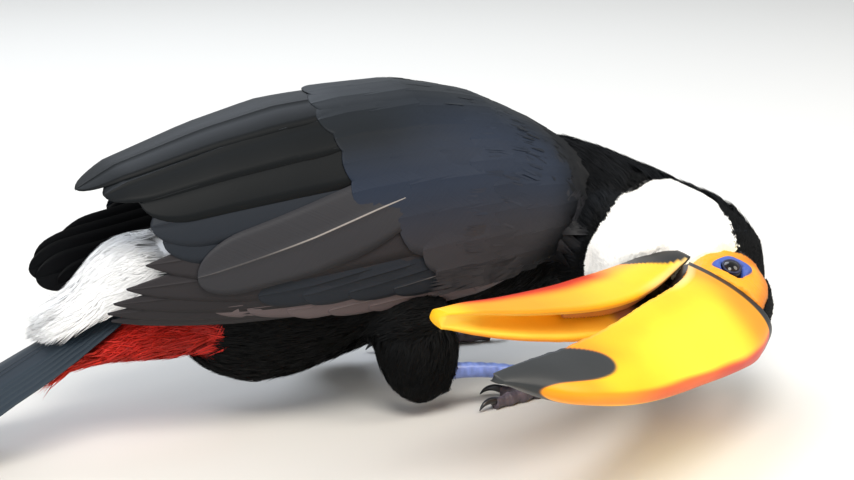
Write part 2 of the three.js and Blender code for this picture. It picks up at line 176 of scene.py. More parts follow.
@dataclass(frozen=True)
class BirdFrame:
    """The bird's own frame: millimetres, +X towards the breast, +Y to its left, floor at 0.

    Its head has a frame too: forward along the bill, to the bird's left, and up to its crown.
    """

    origin: Spot
    head_origin: Place = (70.6, -97.8, 54.3)
    head_forward: Place = (-0.783, -0.619, 0.066)
    head_up: Place = (0.558, -0.746, -0.364)

    @property
    def head_axes(self) -> Array:
        """Rows: forward, left and up."""
        forward = unit(np.array(self.head_forward))
        up = np.array(self.head_up)
        up = unit(up - forward * (up @ forward))
        return np.array([forward, np.cross(up, forward), up])

    def to_row(self, points: Array) -> Array:
        """Bird millimetres to row metres."""
        return (np.asarray(points, float) + np.array([*self.origin, 0.0])) / 1000

    def from_row(self, points: Array) -> Array:
        """Row metres to bird millimetres."""
        return np.asarray(points, float) * 1000 - np.array([*self.origin, 0.0])

    def to_head(self, points: Array) -> Array:
        """Bird millimetres to the head's own."""
        return (np.asarray(points, float) - np.array(self.head_origin)) @ self.head_axes.T

    def from_head(self, points: Array) -> Array:
        """The head's millimetres to the bird's."""
        return np.asarray(points, float) @ self.head_axes + np.array(self.head_origin)


TRUNK_END = -152.0  # where the trunk's solid starts, in the bird's frame
TAIL_ROOT = (-142.0, 0.0, 69.0)
TAIL_SLOPE = math.radians(25.5)  # how steeply the tail falls behind the bird
MIDDLE = (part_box("tail")[0].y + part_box("tail")[1].y) / 2  # the bird's plane of symmetry
BIRD = BirdFrame(origin=(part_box("trunk")[0].x * 1000 - TRUNK_END, MIDDLE * 1000))


class Ground(Enum):
    """What grows on a stretch of skin."""

    BACK = 0
    WHITE = 1
    BELLY = 2
    RUMP = 3
    VENT = 4
    THIGH = 5
    BARE = 6
    MOUTH = 7
    CROWN = 8
    WING = 9


@dataclass(frozen=True)
class Pigments:
    """The plumage's and the face's colours, as sRGB hex, with painted shade and sheen among them."""

    black: str = "08090a"
    back_black: str = "0c0e11"
    wing_top: str = "171b1f"
    # Painted sheen: the bluish slate down the wing's middle stands for the sky's sheen on black
    # feathers.
    slate_sheen: str = "222a38"
    brown: str = "343336"
    white: str = "f4f3ef"
    cream: str = "f6e2a0"
    rump_white: str = "fafaf9"
    red: str = "ae1208"
    orange_red: str = "cf300e"
    amber: str = "ef9d0a"
    # Partly painted shade: the face's skin near its upper edge is painted this darker amber, partly its
    # own colour.
    deep_amber_and_shade: str = "c87005"
    orbital: str = "3b54a4"
    orbital_edge: str = "26347c"
    # Painted shade in the mouth at the gape and down the lining; on the chin under the jaw it carries
    # on the lower mandible's black band.
    mouth_shade_and_band: str = "1d1312"


@dataclass(frozen=True)
class Eye:
    """An eye: its size and its place in the head's frame, in millimetres."""

    radius: float
    centre: Array = field(default_factory=lambda: np.zeros(3))

    @classmethod
    def of(cls, node: str) -> "Eye":
        """Measures an eye's solid.

        Args:
            node: The eye's CAD node.

        Returns:
            The eye as its solid has it.
        """
        low, high = (np.array(c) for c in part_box(node))
        centre = BIRD.to_head(BIRD.from_row((low + high) / 2)[None])[0]
        return cls(radius=float((high - low).mean() * 500), centre=centre)


RIGHT_EYE = Eye.of("eye_right")


@dataclass(frozen=True)
class Markings:
    """The marks of the skin and of the coat over it, with some shade and sheen painted in."""

    pigments: Pigments = Pigments()
    # The bib's hem across the breast: x and y in the bird's frame.
    bib_hem: Table = (
        (40, -60), (54, -58.5), (60, -58.5), (66, -56.5), (73, -52), (82, -45), (92, -39.5),
        (100, -37.5), (111, -34.5), (126, -32),
    )
    # The bare face, from the gape round behind the eye to the forehead: forward and up.
    face_outline: Table = (
        (-3, 1), (-13.6, 2.9), (-22.5, 5.8), (-29.5, 9), (-32.5, 14), (-38, 20.5), (-41, 24.5),
        (-38, 30), (-32, 34.5), (-22, 38), (-6, 40), (6, 26), (6, 0),
    )
    # How far back the chin under the lower mandible reaches: up and forward.
    chin_edge: Table = (
        (-32, 6), (-27, 1.4), (-21, -3), (-17, -9.8), (-11.4, -16.4), (-4.8, -19)
    )
    ring_centre: Spot = (-17.5, 17.8)
    ring_radii: Spot = (10.7, 7.1)
    ring_turn: float = math.radians(-46)
    ring_power: float = 1.5  # 2 would make it an oval: less draws it out to two soft points
    nape_height: float = 13.3  # how high on the head the nape's black starts
    belly_top: float = 62.0
    head_reach: float = 66.0  # how far behind the bill's root the head's black starts

    def face_gap(self, q: Array) -> Array:
        """Millimetres beyond the edge of the bare face, less than 0 inside it.

        Args:
            q: Places in the head's frame.

        Returns:
            One value for each place.
        """
        spot = q[:, (0, 2)]
        corners = np.array(self.face_outline, float)
        gap = np.full(len(q), np.inf)
        inside = np.zeros(len(q), bool)
        for a, b in zip(corners, np.roll(corners, -1, axis=0)):
            way = b - a
            share = np.clip((spot - a) @ way / (way @ way), 0, 1)
            gap = np.minimum(gap, np.linalg.norm(spot - a - share[:, None] * way, axis=1))
            level = (a[1] > spot[:, 1]) != (b[1] > spot[:, 1])
            crossing = a[0] + (spot[:, 1] - a[1]) / (way[1] or 1.0) * way[0]
            inside ^= level & (spot[:, 0] < crossing)
        return np.where(inside, -gap, gap)

    def under_jaw(self, q: Array) -> Array:
        """How far places in the head's frame are inside the chin under the lower mandible."""
        f, side, u = q.T
        beside = (f > 34) | (u > -3) | (u < -32) | (np.abs(side) > 22)
        return np.where(beside, -1, f - table_value(self.chin_edge, u))

    def ring_measure(self, q: Array) -> Array:
        """1 on the edge of the blue skin round the eye, less inside it."""
        f, u = q[:, 0] - self.ring_centre[0], q[:, 2] - self.ring_centre[1]
        c, s = math.cos(self.ring_turn), math.sin(self.ring_turn)
        along, across = (f * c + u * s) / self.ring_radii[0], (u * c - f * s) / self.ring_radii[1]
        power = self.ring_power
        return (np.abs(along) ** power + np.abs(across) ** power) ** (1 / power)

    def in_bib(self, p: Array, q: Array) -> Array:
        """Whether places are inside the white bib: below the nape's black and above the hem."""
        above_hem = p[:, 1] < table_value(self.bib_hem, p[:, 0])
        below_nape = q[:, 2] < self.nape_height + 0.8 * np.minimum(q[:, 0] + 36.5, 0)
        return (p[:, 0] > self.bib_hem[0][0]) & above_hem & below_nape

    def ground(self, p: Array) -> Array:
        """What grows at each place.

        Args:
            p: Places on the skin, in the bird's frame.

        Returns:
            A Ground value for each place.
        """
        q = BIRD.to_head(p)
        x, y, z = p.T
        f, side, u = q.T
        y, side = np.abs(y), np.abs(side)
        tail = TAIL_ROOT[2] + (x - TAIL_ROOT[0]) * math.tan(TAIL_SLOPE)
        head = (f > -self.head_reach) & (f < 34) & (side < 34) & (np.abs(u) < 48)
        gape = head & (f > -8) & (f < 12) & (u < 2) & (u > -16) & (side < 19)
        kind = np.full(len(p), Ground.BACK.value)
        for ground, found in (
            (Ground.BELLY, z < self.belly_top),
            (Ground.RUMP, (x < -131 - 0.35 * y) & (z > tail - 3)),
            (Ground.VENT, (x < -112) & (z < np.minimum(63, tail - 1)) & (y < 32)),
            (Ground.THIGH, (np.abs(x + 30) < 22) & (y > 24) & (z < 44)),
            (Ground.CROWN, head),
            (Ground.WHITE, self.in_bib(p, q)),
            (Ground.BARE, head & (self.face_gap(q) < 0) & (side > 7) & (f < 4)),
            (Ground.MOUTH, gape | (self.under_jaw(q) > 0)),
        ):
            kind[found] = ground.value
        return kind

    def face_colours(self, q: Array, gap: Array) -> Array:
        """Amber skin, darker towards its upper edge as partly painted shade, with the blue ring round
        the eye.
        """
        c = self.pigments
        # Painted shade, partly the skin's own deeper amber: darker near the face's edge, high up.
        amber = layered(c.amber, (c.deep_amber_and_shade, soft(gap, -9, 0) * soft(q[:, 2], 6, 24)))
        ring = self.ring_measure(q)
        rim = np.maximum(soft(ring, 0.86, 1.0) * 0.8, soft(ring, 0.56, 0.46))
        return blend(amber, layered(c.orbital, (c.orbital_edge, rim)), soft(ring, 1.04, 0.98))

    def wing_colours(self, p: Array) -> Array:
        """The coverts' black over painted bluish sky sheen over brown, down the wing."""
        c = self.pigments
        angle = WING.angle_of(p)
        wing = layered(
            c.wing_top,
            # Painted sheen: the middle of the wing, which faces the sky, is painted bluish slate.
            (c.slate_sheen, soft(angle, 14, 52)),
            (c.brown, soft(angle, 62, 96)),
            (c.wing_top, soft(-p[:, 0], -8, 54) * soft(angle, 66, 40)),
        )
        return blend(linear(c.back_black), wing, soft(WING.front(angle) - p[:, 0], 2, 30))

    def colours(self, p: Array, kind: Array) -> Array:
        """The colour at each place, painted shade and sheen included.

        Args:
            p: Places in the bird's frame.
            kind: Their Ground values.

        Returns:
            A linear colour for each place.
        """
        c = self.pigments
        q = BIRD.to_head(p)
        gap = self.face_gap(q)
        creamy = soft(gap, 6, 0) * 0.7 * (kind == Ground.WHITE.value)
        fiery = soft(-p[:, 0], 150, 190) * 0.6 + 0.25 * wobble(p, 9, 3)
        paint = np.tile(linear(c.black), (len(p), 1))
        for ground, found in (
            (Ground.BACK, linear(c.back_black)),
            (Ground.WHITE, layered(c.white, (c.cream, creamy))),
            (Ground.RUMP, linear(c.rump_white)),
            (Ground.VENT, layered(c.red, (c.orange_red, fiery))),
            (Ground.WING, self.wing_colours(p)),
            (Ground.BARE, self.face_colours(q, gap)),
            # The gape is painted dark as shade in the mouth, and the chin under the jaw dark as the
            # band.
            (Ground.MOUTH, linear(c.mouth_shade_and_band)),
        ):
            here = kind == ground.value
            paint[here] = np.broadcast_to(found, paint.shape)[here]
        return paint


MARKS = Markings()


@dataclass(frozen=True)
class Lie:
    """Which way the coat lies: from the bill back over the body to the tail, and down the thighs."""

    back_line: Table = (
        (79, -109, 49), (112, -79, 47), (119, -57, 58), (113, -34, 64), (95, -13, 71), (64, 0, 78),
        (0, 0, 82), (-100, 0, 78), (-150, 0, 68), (-205, 0, 41),
    )
    throat_line: Table = (
        (52, -92, 58), (66, -76, 62), (77, -54, 66), (76, -26, 64), (60, -6, 58), (20, 0, 48)
    )
    reach: float = 15.0
    step: float = 6.0

    def at(self, p: Array, kind: Array) -> Array:
        """The direction of the lie.

        Args:
            p: Places in the bird's frame.
            kind: Their Ground values.

        Returns:
            A direction of length one for each place, not yet laid along the skin.
        """
        places, ways = [], []
        for line in (self.back_line, self.throat_line):
            corners = np.array(line, float)
            for a, b in zip(corners[:-1], corners[1:]):
                steps = max(2, int(np.linalg.norm(b - a) / self.step))
                places.append(a + (b - a) * (np.arange(steps)[:, None] + 0.5) / steps)
                ways.append(np.tile(unit(b - a), (steps, 1)))
        gaps = ((p[:, None, :] - np.concatenate(places)[None]) ** 2).sum(2)
        share = np.exp(-(gaps - gaps.min(1, keepdims=True)) / (2 * self.reach**2))
        lie = unit(share @ np.concatenate(ways))
        hanging = kind == Ground.THIGH.value
        lie[hanging] = unit(lie[hanging] * 0.3 + np.array([0, 0, -1.0]))
        return lie


LIE = Lie()


# ---------------- meshes


def clear_selection() -> None:
    """Deselects everything."""
    if bpy.context.object and bpy.context.object.mode != "OBJECT":
        bpy.ops.object.mode_set(mode="OBJECT")
    bpy.ops.object.select_all(action="DESELECT")


def activate(*pieces: Piece) -> None:
    """Selects these pieces alone and makes the first one active."""
    clear_selection()
    for piece in pieces:
        piece.select_set(True)
    bpy.context.view_layer.objects.active = pieces[0]


def apply_modifier(piece: Piece, kind: str, **settings: object) -> None:
    """Adds a modifier of a kind with its settings to the active piece and applies it."""
    modifier = piece.modifiers.new(kind.title(), kind)
    for name, value in settings.items():
        setattr(modifier, name, value)
    bpy.ops.object.modifier_apply(modifier=modifier.name)


def read(items: Sequence, name: str, width: int = 3, kind: type = np.float32) -> Array:
    """Reads one property of many of a mesh's items.

    Args:
        items: The vertices, loops or the like.
        name: The property's name.
        width: How many numbers it has.
        kind: The numbers' type.

    Returns:
        One row for each item.
    """
    found = np.empty(len(items) * width, kind)
    items.foreach_get(name, found)
    return found.reshape(-1, width)


def vertex_places(mesh: Mesh) -> Array:
    """The mesh's vertices, one row each."""
    return read(mesh.vertices, "co").astype(float)


def move_vertices(mesh: Mesh, places: Array) -> None:
    """Puts the mesh's vertices at new places."""
    mesh.vertices.foreach_set("co", places.astype(np.float32).ravel())


def smooth_faces(mesh: Mesh) -> None:
    """Shades every face smooth."""
    mesh.polygons.foreach_set("use_smooth", np.ones(len(mesh.polygons), bool))


def mesh_from(name: str, places: Array, faces: Sequence[Array]) -> Piece:
    """A new mesh object from arrays.

    Args:
        name: The piece's name.
        places: Its vertices in the bird's frame.
        faces: Arrays of vertex numbers, each array with one count of corners to a face.

    Returns:
        The object, at the origin.
    """
    mesh = bpy.data.meshes.new(name)
    mesh.vertices.add(len(places))
    move_vertices(mesh, BIRD.to_row(places))
    corners = np.concatenate([f.ravel() for f in faces]).astype(np.int32)
    totals = np.concatenate([np.full(len(f), f.shape[1]) for f in faces]).astype(np.int32)
    mesh.loops.add(len(corners))
    mesh.loops.foreach_set("vertex_index", corners)
    mesh.polygons.add(len(totals))
    starts = np.concatenate([[0], np.cumsum(totals)[:-1]]).astype(np.int32)
    mesh.polygons.foreach_set("loop_start", starts)
    mesh.polygons.foreach_set("loop_total", totals)
    smooth_faces(mesh)
    mesh.update(calc_edges=True)
    mesh.validate()
    piece = bpy.data.objects.new(name, mesh)
    bpy.context.scene.collection.objects.link(piece)
    return piece


def turn_outwards(piece: Piece) -> None:
    """Makes the faces of a closed piece point outwards."""
    shape = bmesh.new()
    shape.from_mesh(piece.data)
    bmesh.ops.recalc_face_normals(shape, faces=shape.faces)
    shape.to_mesh(piece.data)
    shape.free()


def add_tint(mesh: Mesh, colours: Array) -> None:
    """Stores a colour for each vertex."""
    layer = mesh.attributes.new(TINT, "FLOAT_COLOR", "POINT")
    full = np.concatenate([colours, np.ones((len(colours), 1))], 1)
    layer.data.foreach_set("color", full.astype(np.float32).ravel())


def add_map(mesh: Mesh, name: str, places: Array) -> None:
    """Stores a UV map from one place for each vertex."""
    layer = mesh.uv_layers.new(name=name)
    corners = read(mesh.loops, "vertex_index", 1, np.int32)[:, 0]
    layer.uv.foreach_set("vector", places[corners].astype(np.float32).ravel())


def grid_faces(rows: int, columns: int, closed: bool = False) -> Array:
    """Quads over a grid of vertices stored row by row.

    Args:
        rows: How many rows of vertices.
        columns: How many vertices in a row.
        closed: Whether each row is a ring.

    Returns:
        Vertex numbers, four to a face.
    """
    wide = columns if closed else columns - 1
    i, j = np.meshgrid(np.arange(rows - 1), np.arange(wide), indexing="ij")
    a, b = i * columns + j, i * columns + (j + 1) % columns
    return np.stack([a, b, b + columns, a + columns], -1).reshape(-1, 4)


def tubes(name: str, grids: Sequence[Array], paints: Sequence[Array]) -> Piece:
    """Joins tubes of rings into one piece and closes their ends.

    Args:
        name: The piece's name.
        grids: Each tube's rings, in the bird's frame.
        paints: A linear colour for each place of each tube.

    Returns:
        The piece, with its faces pointing outwards.
    """
    places, tints, quads, tris, start = [], [], [], [], 0
    for grid, paint in zip(grids, paints):
        rings, columns = grid.shape[:2]
        places += [grid.reshape(-1, 3), grid[0].mean(0)[None], grid[-1].mean(0)[None]]
        tints += [paint.reshape(-1, 3), paint[0].mean(0)[None], paint[-1, :1]]
        quads.append(grid_faces(rings, columns, closed=True) + start)
        i = np.arange(columns)
        for k, first in enumerate((0, (rings - 1) * columns)):
            hub = np.full(columns, rings * columns + k)
            tris.append(np.stack([first + i, first + (i + 1) % columns, hub], -1) + start)
        start += rings * columns + 2
    piece = mesh_from(name, np.concatenate(places), [np.concatenate(quads), np.concatenate(tris)])
    add_tint(piece.data, np.concatenate(tints))
    turn_outwards(piece)
    return piece


# ---------------- finishes


def add_node(tree: Tree, kind: str, settings: dict, links: dict) -> bpy.types.Node:
    """Adds a node with its settings and links.

    Args:
        tree: The material's node tree.
        kind: The node's type, such as "ShaderNodeTexNoise".
        settings: Properties of the node, or values of its inputs.
        links: Output sockets to join to its inputs.

    Returns:
        The node.
    """
    node = tree.nodes.new(kind)
    for name, value in settings.items():
        if isinstance(name, str) and hasattr(node, name):
            setattr(node, name, value)
        else:
            node.inputs[name].default_value = value
    for name, source in links.items():
        tree.links.new(source, node.inputs[name])
    return node


@dataclass(frozen=True)
class Finish:
    """A finish whose colour is the piece's markings with their painted shade and sheen, mottled, with a
    fine grain.
    """

    name: str
    roughness: float
    specular: float
    grain_mm: float
    relief: float  # the strength of the grain's bump
    mottle: float  # how far the mottling darkens and lightens
    mottle_mm: float = 14.0
    coat: float = 0.0
    sheen: float = 0.0
    sheen_hex: str = "ffffff"
    contrast: ClassVar[float] = 0.2  # noise this far off its middle is taken as its end
    relief_mm: ClassVar[float] = 0.4

    def patterns(self, tree: Tree) -> tuple[Socket, Socket]:
        """The mottling and the relief, as noise from 0 to 1."""
        place = add_node(tree, "ShaderNodeTexCoord", {}, {}).outputs["Object"]
        return tuple(
            add_node(
                tree, "ShaderNodeTexNoise", {"Scale": 1000 / size, "Detail": detail}, {"Vector": place}
            ).outputs["Fac"]
            for size, detail in ((self.mottle_mm, 4.0), (self.grain_mm, 2.0))
        )

    @cache
    def material(self) -> bpy.types.Material:
        """Builds the material, once."""
        material = bpy.data.materials.new(self.name)
        material.use_nodes = True
        tree = material.node_tree
        shader = tree.nodes["Principled BSDF"]
        tone, height = self.patterns(tree)
        ends = {"From Min": 0.5 - self.contrast, "From Max": 0.5 + self.contrast}
        ends |= {"To Min": 1 - self.mottle, "To Max": 1 + self.mottle}
        shade = add_node(tree, "ShaderNodeMapRange", ends, {"Value": tone}).outputs["Result"]
        tint = add_node(tree, "ShaderNodeAttribute", {"attribute_name": TINT}, {}).outputs["Color"]
        links = {"Vector": tint, "Scale": shade}
        colour = add_node(tree, "ShaderNodeVectorMath", {"operation": "SCALE"}, links)
        depth = {"Strength": self.relief, "Distance": self.relief_mm / 1000}
        bump = add_node(tree, "ShaderNodeBump", depth, {"Height": height})
        tree.links.new(colour.outputs["Vector"], shader.inputs["Base Color"])
        tree.links.new(bump.outputs["Normal"], shader.inputs["Normal"])
        for name, value in (
            ("Roughness", self.roughness),
            ("Specular IOR Level", self.specular),
            ("Sheen Weight", self.sheen),
            ("Sheen Roughness", 0.45),
            ("Sheen Tint", (*linear(self.sheen_hex), 1)),
            ("Coat Weight", self.coat),
            ("Coat Roughness", 0.12),
        ):
            shader.inputs[name].default_value = value
        return material


@dataclass(frozen=True)
class VaneFinish(Finish):
    """Feather vanes, crossed by fine slanting barbs on each side of the shaft."""

    slant: float = 1.5
    contrast: ClassVar[float] = 0.25
    relief_mm: ClassVar[float] = 0.2

    def patterns(self, tree: Tree) -> tuple[Socket, Socket]:
        """The barbs, which are both the shading and the relief."""
        vane = add_node(tree, "ShaderNodeUVMap", {"uv_map": VANE_MAP}, {}).outputs["UV"]
        split = add_node(tree, "ShaderNodeSeparateXYZ", {}, {"Vector": vane}).outputs
        math_node = "ShaderNodeMath"
        side = add_node(tree, math_node, {"operation": "ABSOLUTE"}, {0: split["X"]}).outputs[0]
        lean = add_node(tree, math_node, {"operation": "MULTIPLY", 1: -self.slant}, {0: side})
        run = add_node(tree, math_node, {"operation": "ADD"}, {0: split["Y"], 1: lean.outputs[0]})
        line = add_node(tree, "ShaderNodeCombineXYZ", {}, {"X": run.outputs[0]}).outputs["Vector"]
        settings = {"Scale": 10 / self.grain_mm, "Detail": 2.0, "Roughness": 0.6}
        barbs = add_node(tree, "ShaderNodeTexNoise", settings, {"Vector": line}).outputs["Fac"]
        return barbs, barbs


# Bare facial skin: warm and faintly pored, with a dull gloss. The coat hides the rest of it.
FACE_SKIN = Finish(
    "living_skin", roughness=0.5, specular=0.45, grain_mm=1.1, relief=0.25, mottle=0.05, mottle_mm=9.0
)
# Loose contour feathers: matt, with a soft gloss along the barbs and uneven blacks.
DARK_COAT = Finish(
    "black_contour_feathers", roughness=0.65, specular=0.1, grain_mm=0.9, relief=0.25, mottle=0.2
)
# The small coverts of the wing: closer and a little glossier than the body's coat.
WING_COAT = Finish(
    "wing_covert_feathers", roughness=0.5, specular=0.16, grain_mm=0.9, relief=0.06, mottle=0.1
)
# Down-soft white feathers: very matt, with light caught in their edges.
WHITE_COAT = Finish(
    "white_contour_feathers", roughness=0.8, specular=0.25, grain_mm=0.9, relief=0.2, mottle=0.03,
    sheen=0.25,
)
# Red vent feathers: glossier, with an orange glow at grazing angles.
RED_COAT = Finish(
    "red_contour_feathers", roughness=0.6, specular=0.35, grain_mm=0.9, relief=0.3, mottle=0.18,
    sheen=0.2, sheen_hex="ff8a60",
)
# Zipped vanes: satin. Real barbs lie about 0.4 mm apart, and are drawn coarser so that they show.
VANES = VaneFinish(
    "flight_feather_vane", roughness=0.5, specular=0.12, grain_mm=0.9, relief=0.2, mottle=0.14
)
# Horn: thin keratin over bony struts, satin with a waxy top.
HORN = Finish(
    "bill_horn", roughness=0.42, specular=0.28, grain_mm=5.0, relief=0.1, mottle=0.05,
    mottle_mm=22.0, coat=0.03,
)
# Tongue: moist, horny flesh with a wet coat.
TONGUE = Finish(
    "tongue_skin", roughness=0.35, specular=0.5, grain_mm=1.5, relief=0.2, mottle=0.15, coat=0.3
)
# The wet eye: dark iris under a clear, glassy film.
EYE_FILM = Finish(
    "eye_film", roughness=0.05, specular=0.35, grain_mm=4.0, relief=0.0, mottle=0.0, coat=0.2
)
# Tarsus: hard overlapping scutes with a polish from wear.
SCUTES = Finish(
    "tarsus_scutes", roughness=0.32, specular=0.5, grain_mm=1.6, relief=0.3, mottle=0.12,
    mottle_mm=5.0, coat=0.2,
)
# Toes: dry, finely wrinkled scales, blotched in tone.
TOE_SCALES = Finish(
    "toe_scales", roughness=0.5, specular=0.45, grain_mm=0.8, relief=0.6, mottle=0.25, mottle_mm=3.0
)
# Claws: dark keratin, worn smooth.
CLAW = Finish(
    "claw_keratin", roughness=0.3, specular=0.5, grain_mm=2.0, relief=0.1, mottle=0.2, coat=0.3
)


def dress(piece: Piece, finish: Finish, slot: str, *replaces: str) -> Piece:
    """Gives a piece its finish and its place on the bird.

    Args:
        piece: The piece.
        finish: Its finish.
        slot: Not used.
        replaces: The CAD nodes that it stands for.

    Returns:
        The piece.
    """
    piece.data.materials.clear()
    piece.data.materials.append(finish.material())
    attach(piece, "root")
    if replaces:
        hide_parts(*replaces)
    LOG.info("%s: %d triangles", piece.name, len(piece.data.loops) - 2 * len(piece.data.polygons))
    return piece


# ---------------- the skin


@dataclass
class Skin:
    """One skin over trunk, neck, head, thighs and tail coverts, inside them by the coat's depth."""

    nodes: tuple[str, ...] = (
        "trunk", "neck", "head", "rump_coverts", "vent_coverts", "thigh_right", "thigh_left"
    )
    voxel_mm: float = 1.7
    swell_mm: float = 0.45  # closes the clearances between the solids
    body_depth: float = 3.0
    white_depth: float = 3.2
    fluff_depth: float = 3.6
    crown_depth: float = 2.0
    bare_depth: float = 0.25
    chin_depth: float = 5.5
    lowest: float = 1.2  # how far the belly's skin stays off the floor

    def joined(self) -> Piece:
        """A swollen, joined copy of the flesh solids."""
        copies = []
        for node in self.nodes:
            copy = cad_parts[node].copy()
            copy.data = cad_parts[node].data.copy()
            copy.parent = None
            for key in list(copy.keys()):
                del copy[key]
            bpy.context.scene.collection.objects.link(copy)
            shape = bmesh.new()
            shape.from_mesh(copy.data)
            bmesh.ops.remove_doubles(shape, verts=shape.verts, dist=1e-6)
            shape.normal_update()
            for vertex in shape.verts:
                vertex.co += vertex.normal * self.swell_mm / 1000
            shape.to_mesh(copy.data)
            shape.free()
            copies.append(copy)
        activate(*copies)
        bpy.ops.object.join()
        skin = copies[0]
        skin.name = skin.data.name = "skin"
        return skin

    @staticmethod
    def drop_islands(shape: bmesh.types.BMesh) -> None:
        """Keeps only the largest connected surface."""
        left = set(shape.verts)
        islands = []
        while left:
            found, edge = set(), [left.pop()]
            while edge:
                vertex = edge.pop()
                found.add(vertex)
                for other in (link.other_vert(vertex) for link in vertex.link_edges):
                    if other in left:
                        left.remove(other)
                        edge.append(other)
            islands.append(found)
        islands.sort(key=len)
        for island in islands[:-1]:
            bmesh.ops.delete(shape, geom=list(island), context="VERTS")

    @staticmethod
    def refine(shape: bmesh.types.BMesh, wanted: Callable[[Array], Array]) -> None:
        """Halves the edges in a part of the head.

        Args:
            shape: The skin's mesh.
            wanted: Tells for places in the head's frame whether they belong to it.
        """
        spots = BIRD.to_head(BIRD.from_row(np.array([v.co for v in shape.verts])))
        shape.verts.ensure_lookup_table()
        picked = {shape.verts[i] for i in np.nonzero(wanted(spots))[0]}
        edges = [e for e in shape.edges if e.verts[0] in picked and e.verts[1] in picked]
        bmesh.ops.subdivide_edges(shape, edges=edges, cuts=1, use_grid_fill=True, smooth=0.6)

    @staticmethod
    def on_face(q: Array) -> Array:
        """Whether places are on the bare face or near it."""
        return (q[:, 0] > -56) & (q[:, 0] < 8) & (q[:, 2] > -14)

    @staticmethod
    def round_eyes(q: Array) -> Array:
        """Whether places are on the rings round the eyes."""
        off = np.linalg.norm((q - RIGHT_EYE.centre)[:, (0, 2)], axis=1)
        return (off < 17) & (np.abs(q[:, 1]) > 8)

    def remesh(self, skin: Piece) -> None:
        """Makes one even surface of it, finer over the face."""
        activate(skin)
        apply_modifier(skin, "REMESH", mode="VOXEL", voxel_size=self.voxel_mm / 1000)
        apply_modifier(skin, "SMOOTH", factor=0.5, iterations=6)
        shape = bmesh.new()
        shape.from_mesh(skin.data)
        self.drop_islands(shape)
        self.refine(shape, self.on_face)
        self.refine(shape, self.round_eyes)
        bmesh.ops.recalc_face_normals(shape, faces=shape.faces)
        shape.to_mesh(skin.data)
        shape.free()

    def depth(self, p: Array, kind: Array) -> Array:
        """How far the skin lies inside the solids at each place."""
        depth = np.full(len(p), self.body_depth)
        for ground, value in (
            (Ground.WHITE, self.white_depth),
            (Ground.RUMP, self.fluff_depth),
            (Ground.VENT, self.fluff_depth),
            (Ground.CROWN, self.crown_depth),
            (Ground.BARE, self.bare_depth),
            (Ground.MOUTH, self.bare_depth),
        ):
            depth[kind == ground.value] = value
        q = BIRD.to_head(p)
        inside = MARKS.under_jaw(q)
        sunk = self.white_depth + (self.chin_depth - self.white_depth) * soft(inside, 0, 5)
        depth = np.where(inside > 0, sunk, depth)
        rim = soft(MARKS.face_gap(q), 8, 0) * soft(np.linalg.norm(q, axis=1), 75, 45)
        return depth * (1 - rim) + np.minimum(depth, self.bare_depth + 0.5) * rim

    def shape_face(self, p: Array, normals: Array) -> Array:
        """Raises the folds round the eyes.

        Args:
            p: Places in the bird's frame.
            normals: The skin's normals there.

        Returns:
            The moved places.
        """
        q = BIRD.to_head(p)
        on_side = (np.abs(q[:, 1]) > 9) & (q[:, 0] > -60) & (q[:, 0] < 8)
        ring = MARKS.ring_measure(q)
        # A plump ring in a groove, with fine folds round it and pores on the amber skin.
        swell = 0.9 * np.exp(-(((ring - 0.72) / 0.22) ** 2))
        swell -= 0.45 * np.exp(-(((ring - 1.08) / 0.09) ** 2))
        swell += 0.10 * np.cos(ring * 34) * soft(ring, 1.1, 0.95) * soft(ring, 0.5, 0.65)
        swell += 0.12 * wobble(p, 2.6, 11) * soft(ring, 1.0, 1.2) * soft(MARKS.face_gap(q), 1, -2)
        # The eye looks a little forward, so the ring stands higher behind it.
        ahead = np.clip((q[:, 0] - RIGHT_EYE.centre[0]) / 8, -1, 1)
        swell -= 1.5 * ahead * soft(ring, 1.2, 0.8)
        return p + normals * (swell * on_side)[:, None]

    @staticmethod
    def unwrap(skin: Piece) -> None:
        """Clears what the solids left on the mesh and lays it out for the bake."""
        mesh = skin.data
        for name in [a.name for a in mesh.attributes if not a.is_required]:
            if mesh.attributes[name].data_type in ("FLOAT_COLOR", "BYTE_COLOR", "FLOAT_VECTOR"):
                mesh.attributes.remove(mesh.attributes[name])
        while mesh.uv_layers:
            mesh.uv_layers.remove(mesh.uv_layers[0])
        mesh.uv_layers.new(name=BAKE_MAP)
        bpy.ops.object.mode_set(mode="EDIT")
        bpy.ops.mesh.select_all(action="SELECT")
        bpy.ops.uv.smart_project(angle_limit=1.15, island_margin=0.004, scale_to_bounds=True)
        bpy.ops.object.mode_set(mode="OBJECT")

    def build(self) -> Piece:
        """Makes the skin, marked and mapped for the bake."""
        skin = self.joined()
        self.remesh(skin)
        p = BIRD.from_row(vertex_places(skin.data))
        normals = read(skin.data.vertex_normals, "vector").astype(float)
        depth = self.depth(p, MARKS.ground(p)) + self.swell_mm
        p = self.shape_face(p - normals * depth[:, None], normals)
        p[:, 2] = np.maximum(p[:, 2], self.lowest)
        move_vertices(skin.data, BIRD.to_row(p))
        activate(skin)
        apply_modifier(skin, "SMOOTH", factor=0.3, iterations=2)
        self.unwrap(skin)
        p = BIRD.from_row(vertex_places(skin.data))
        add_tint(skin.data, MARKS.colours(p, MARKS.ground(p)))
        smooth_faces(skin.data)
        return dress(skin, FACE_SKIN, "facial_skin", *self.nodes)


# ---------------- the coat


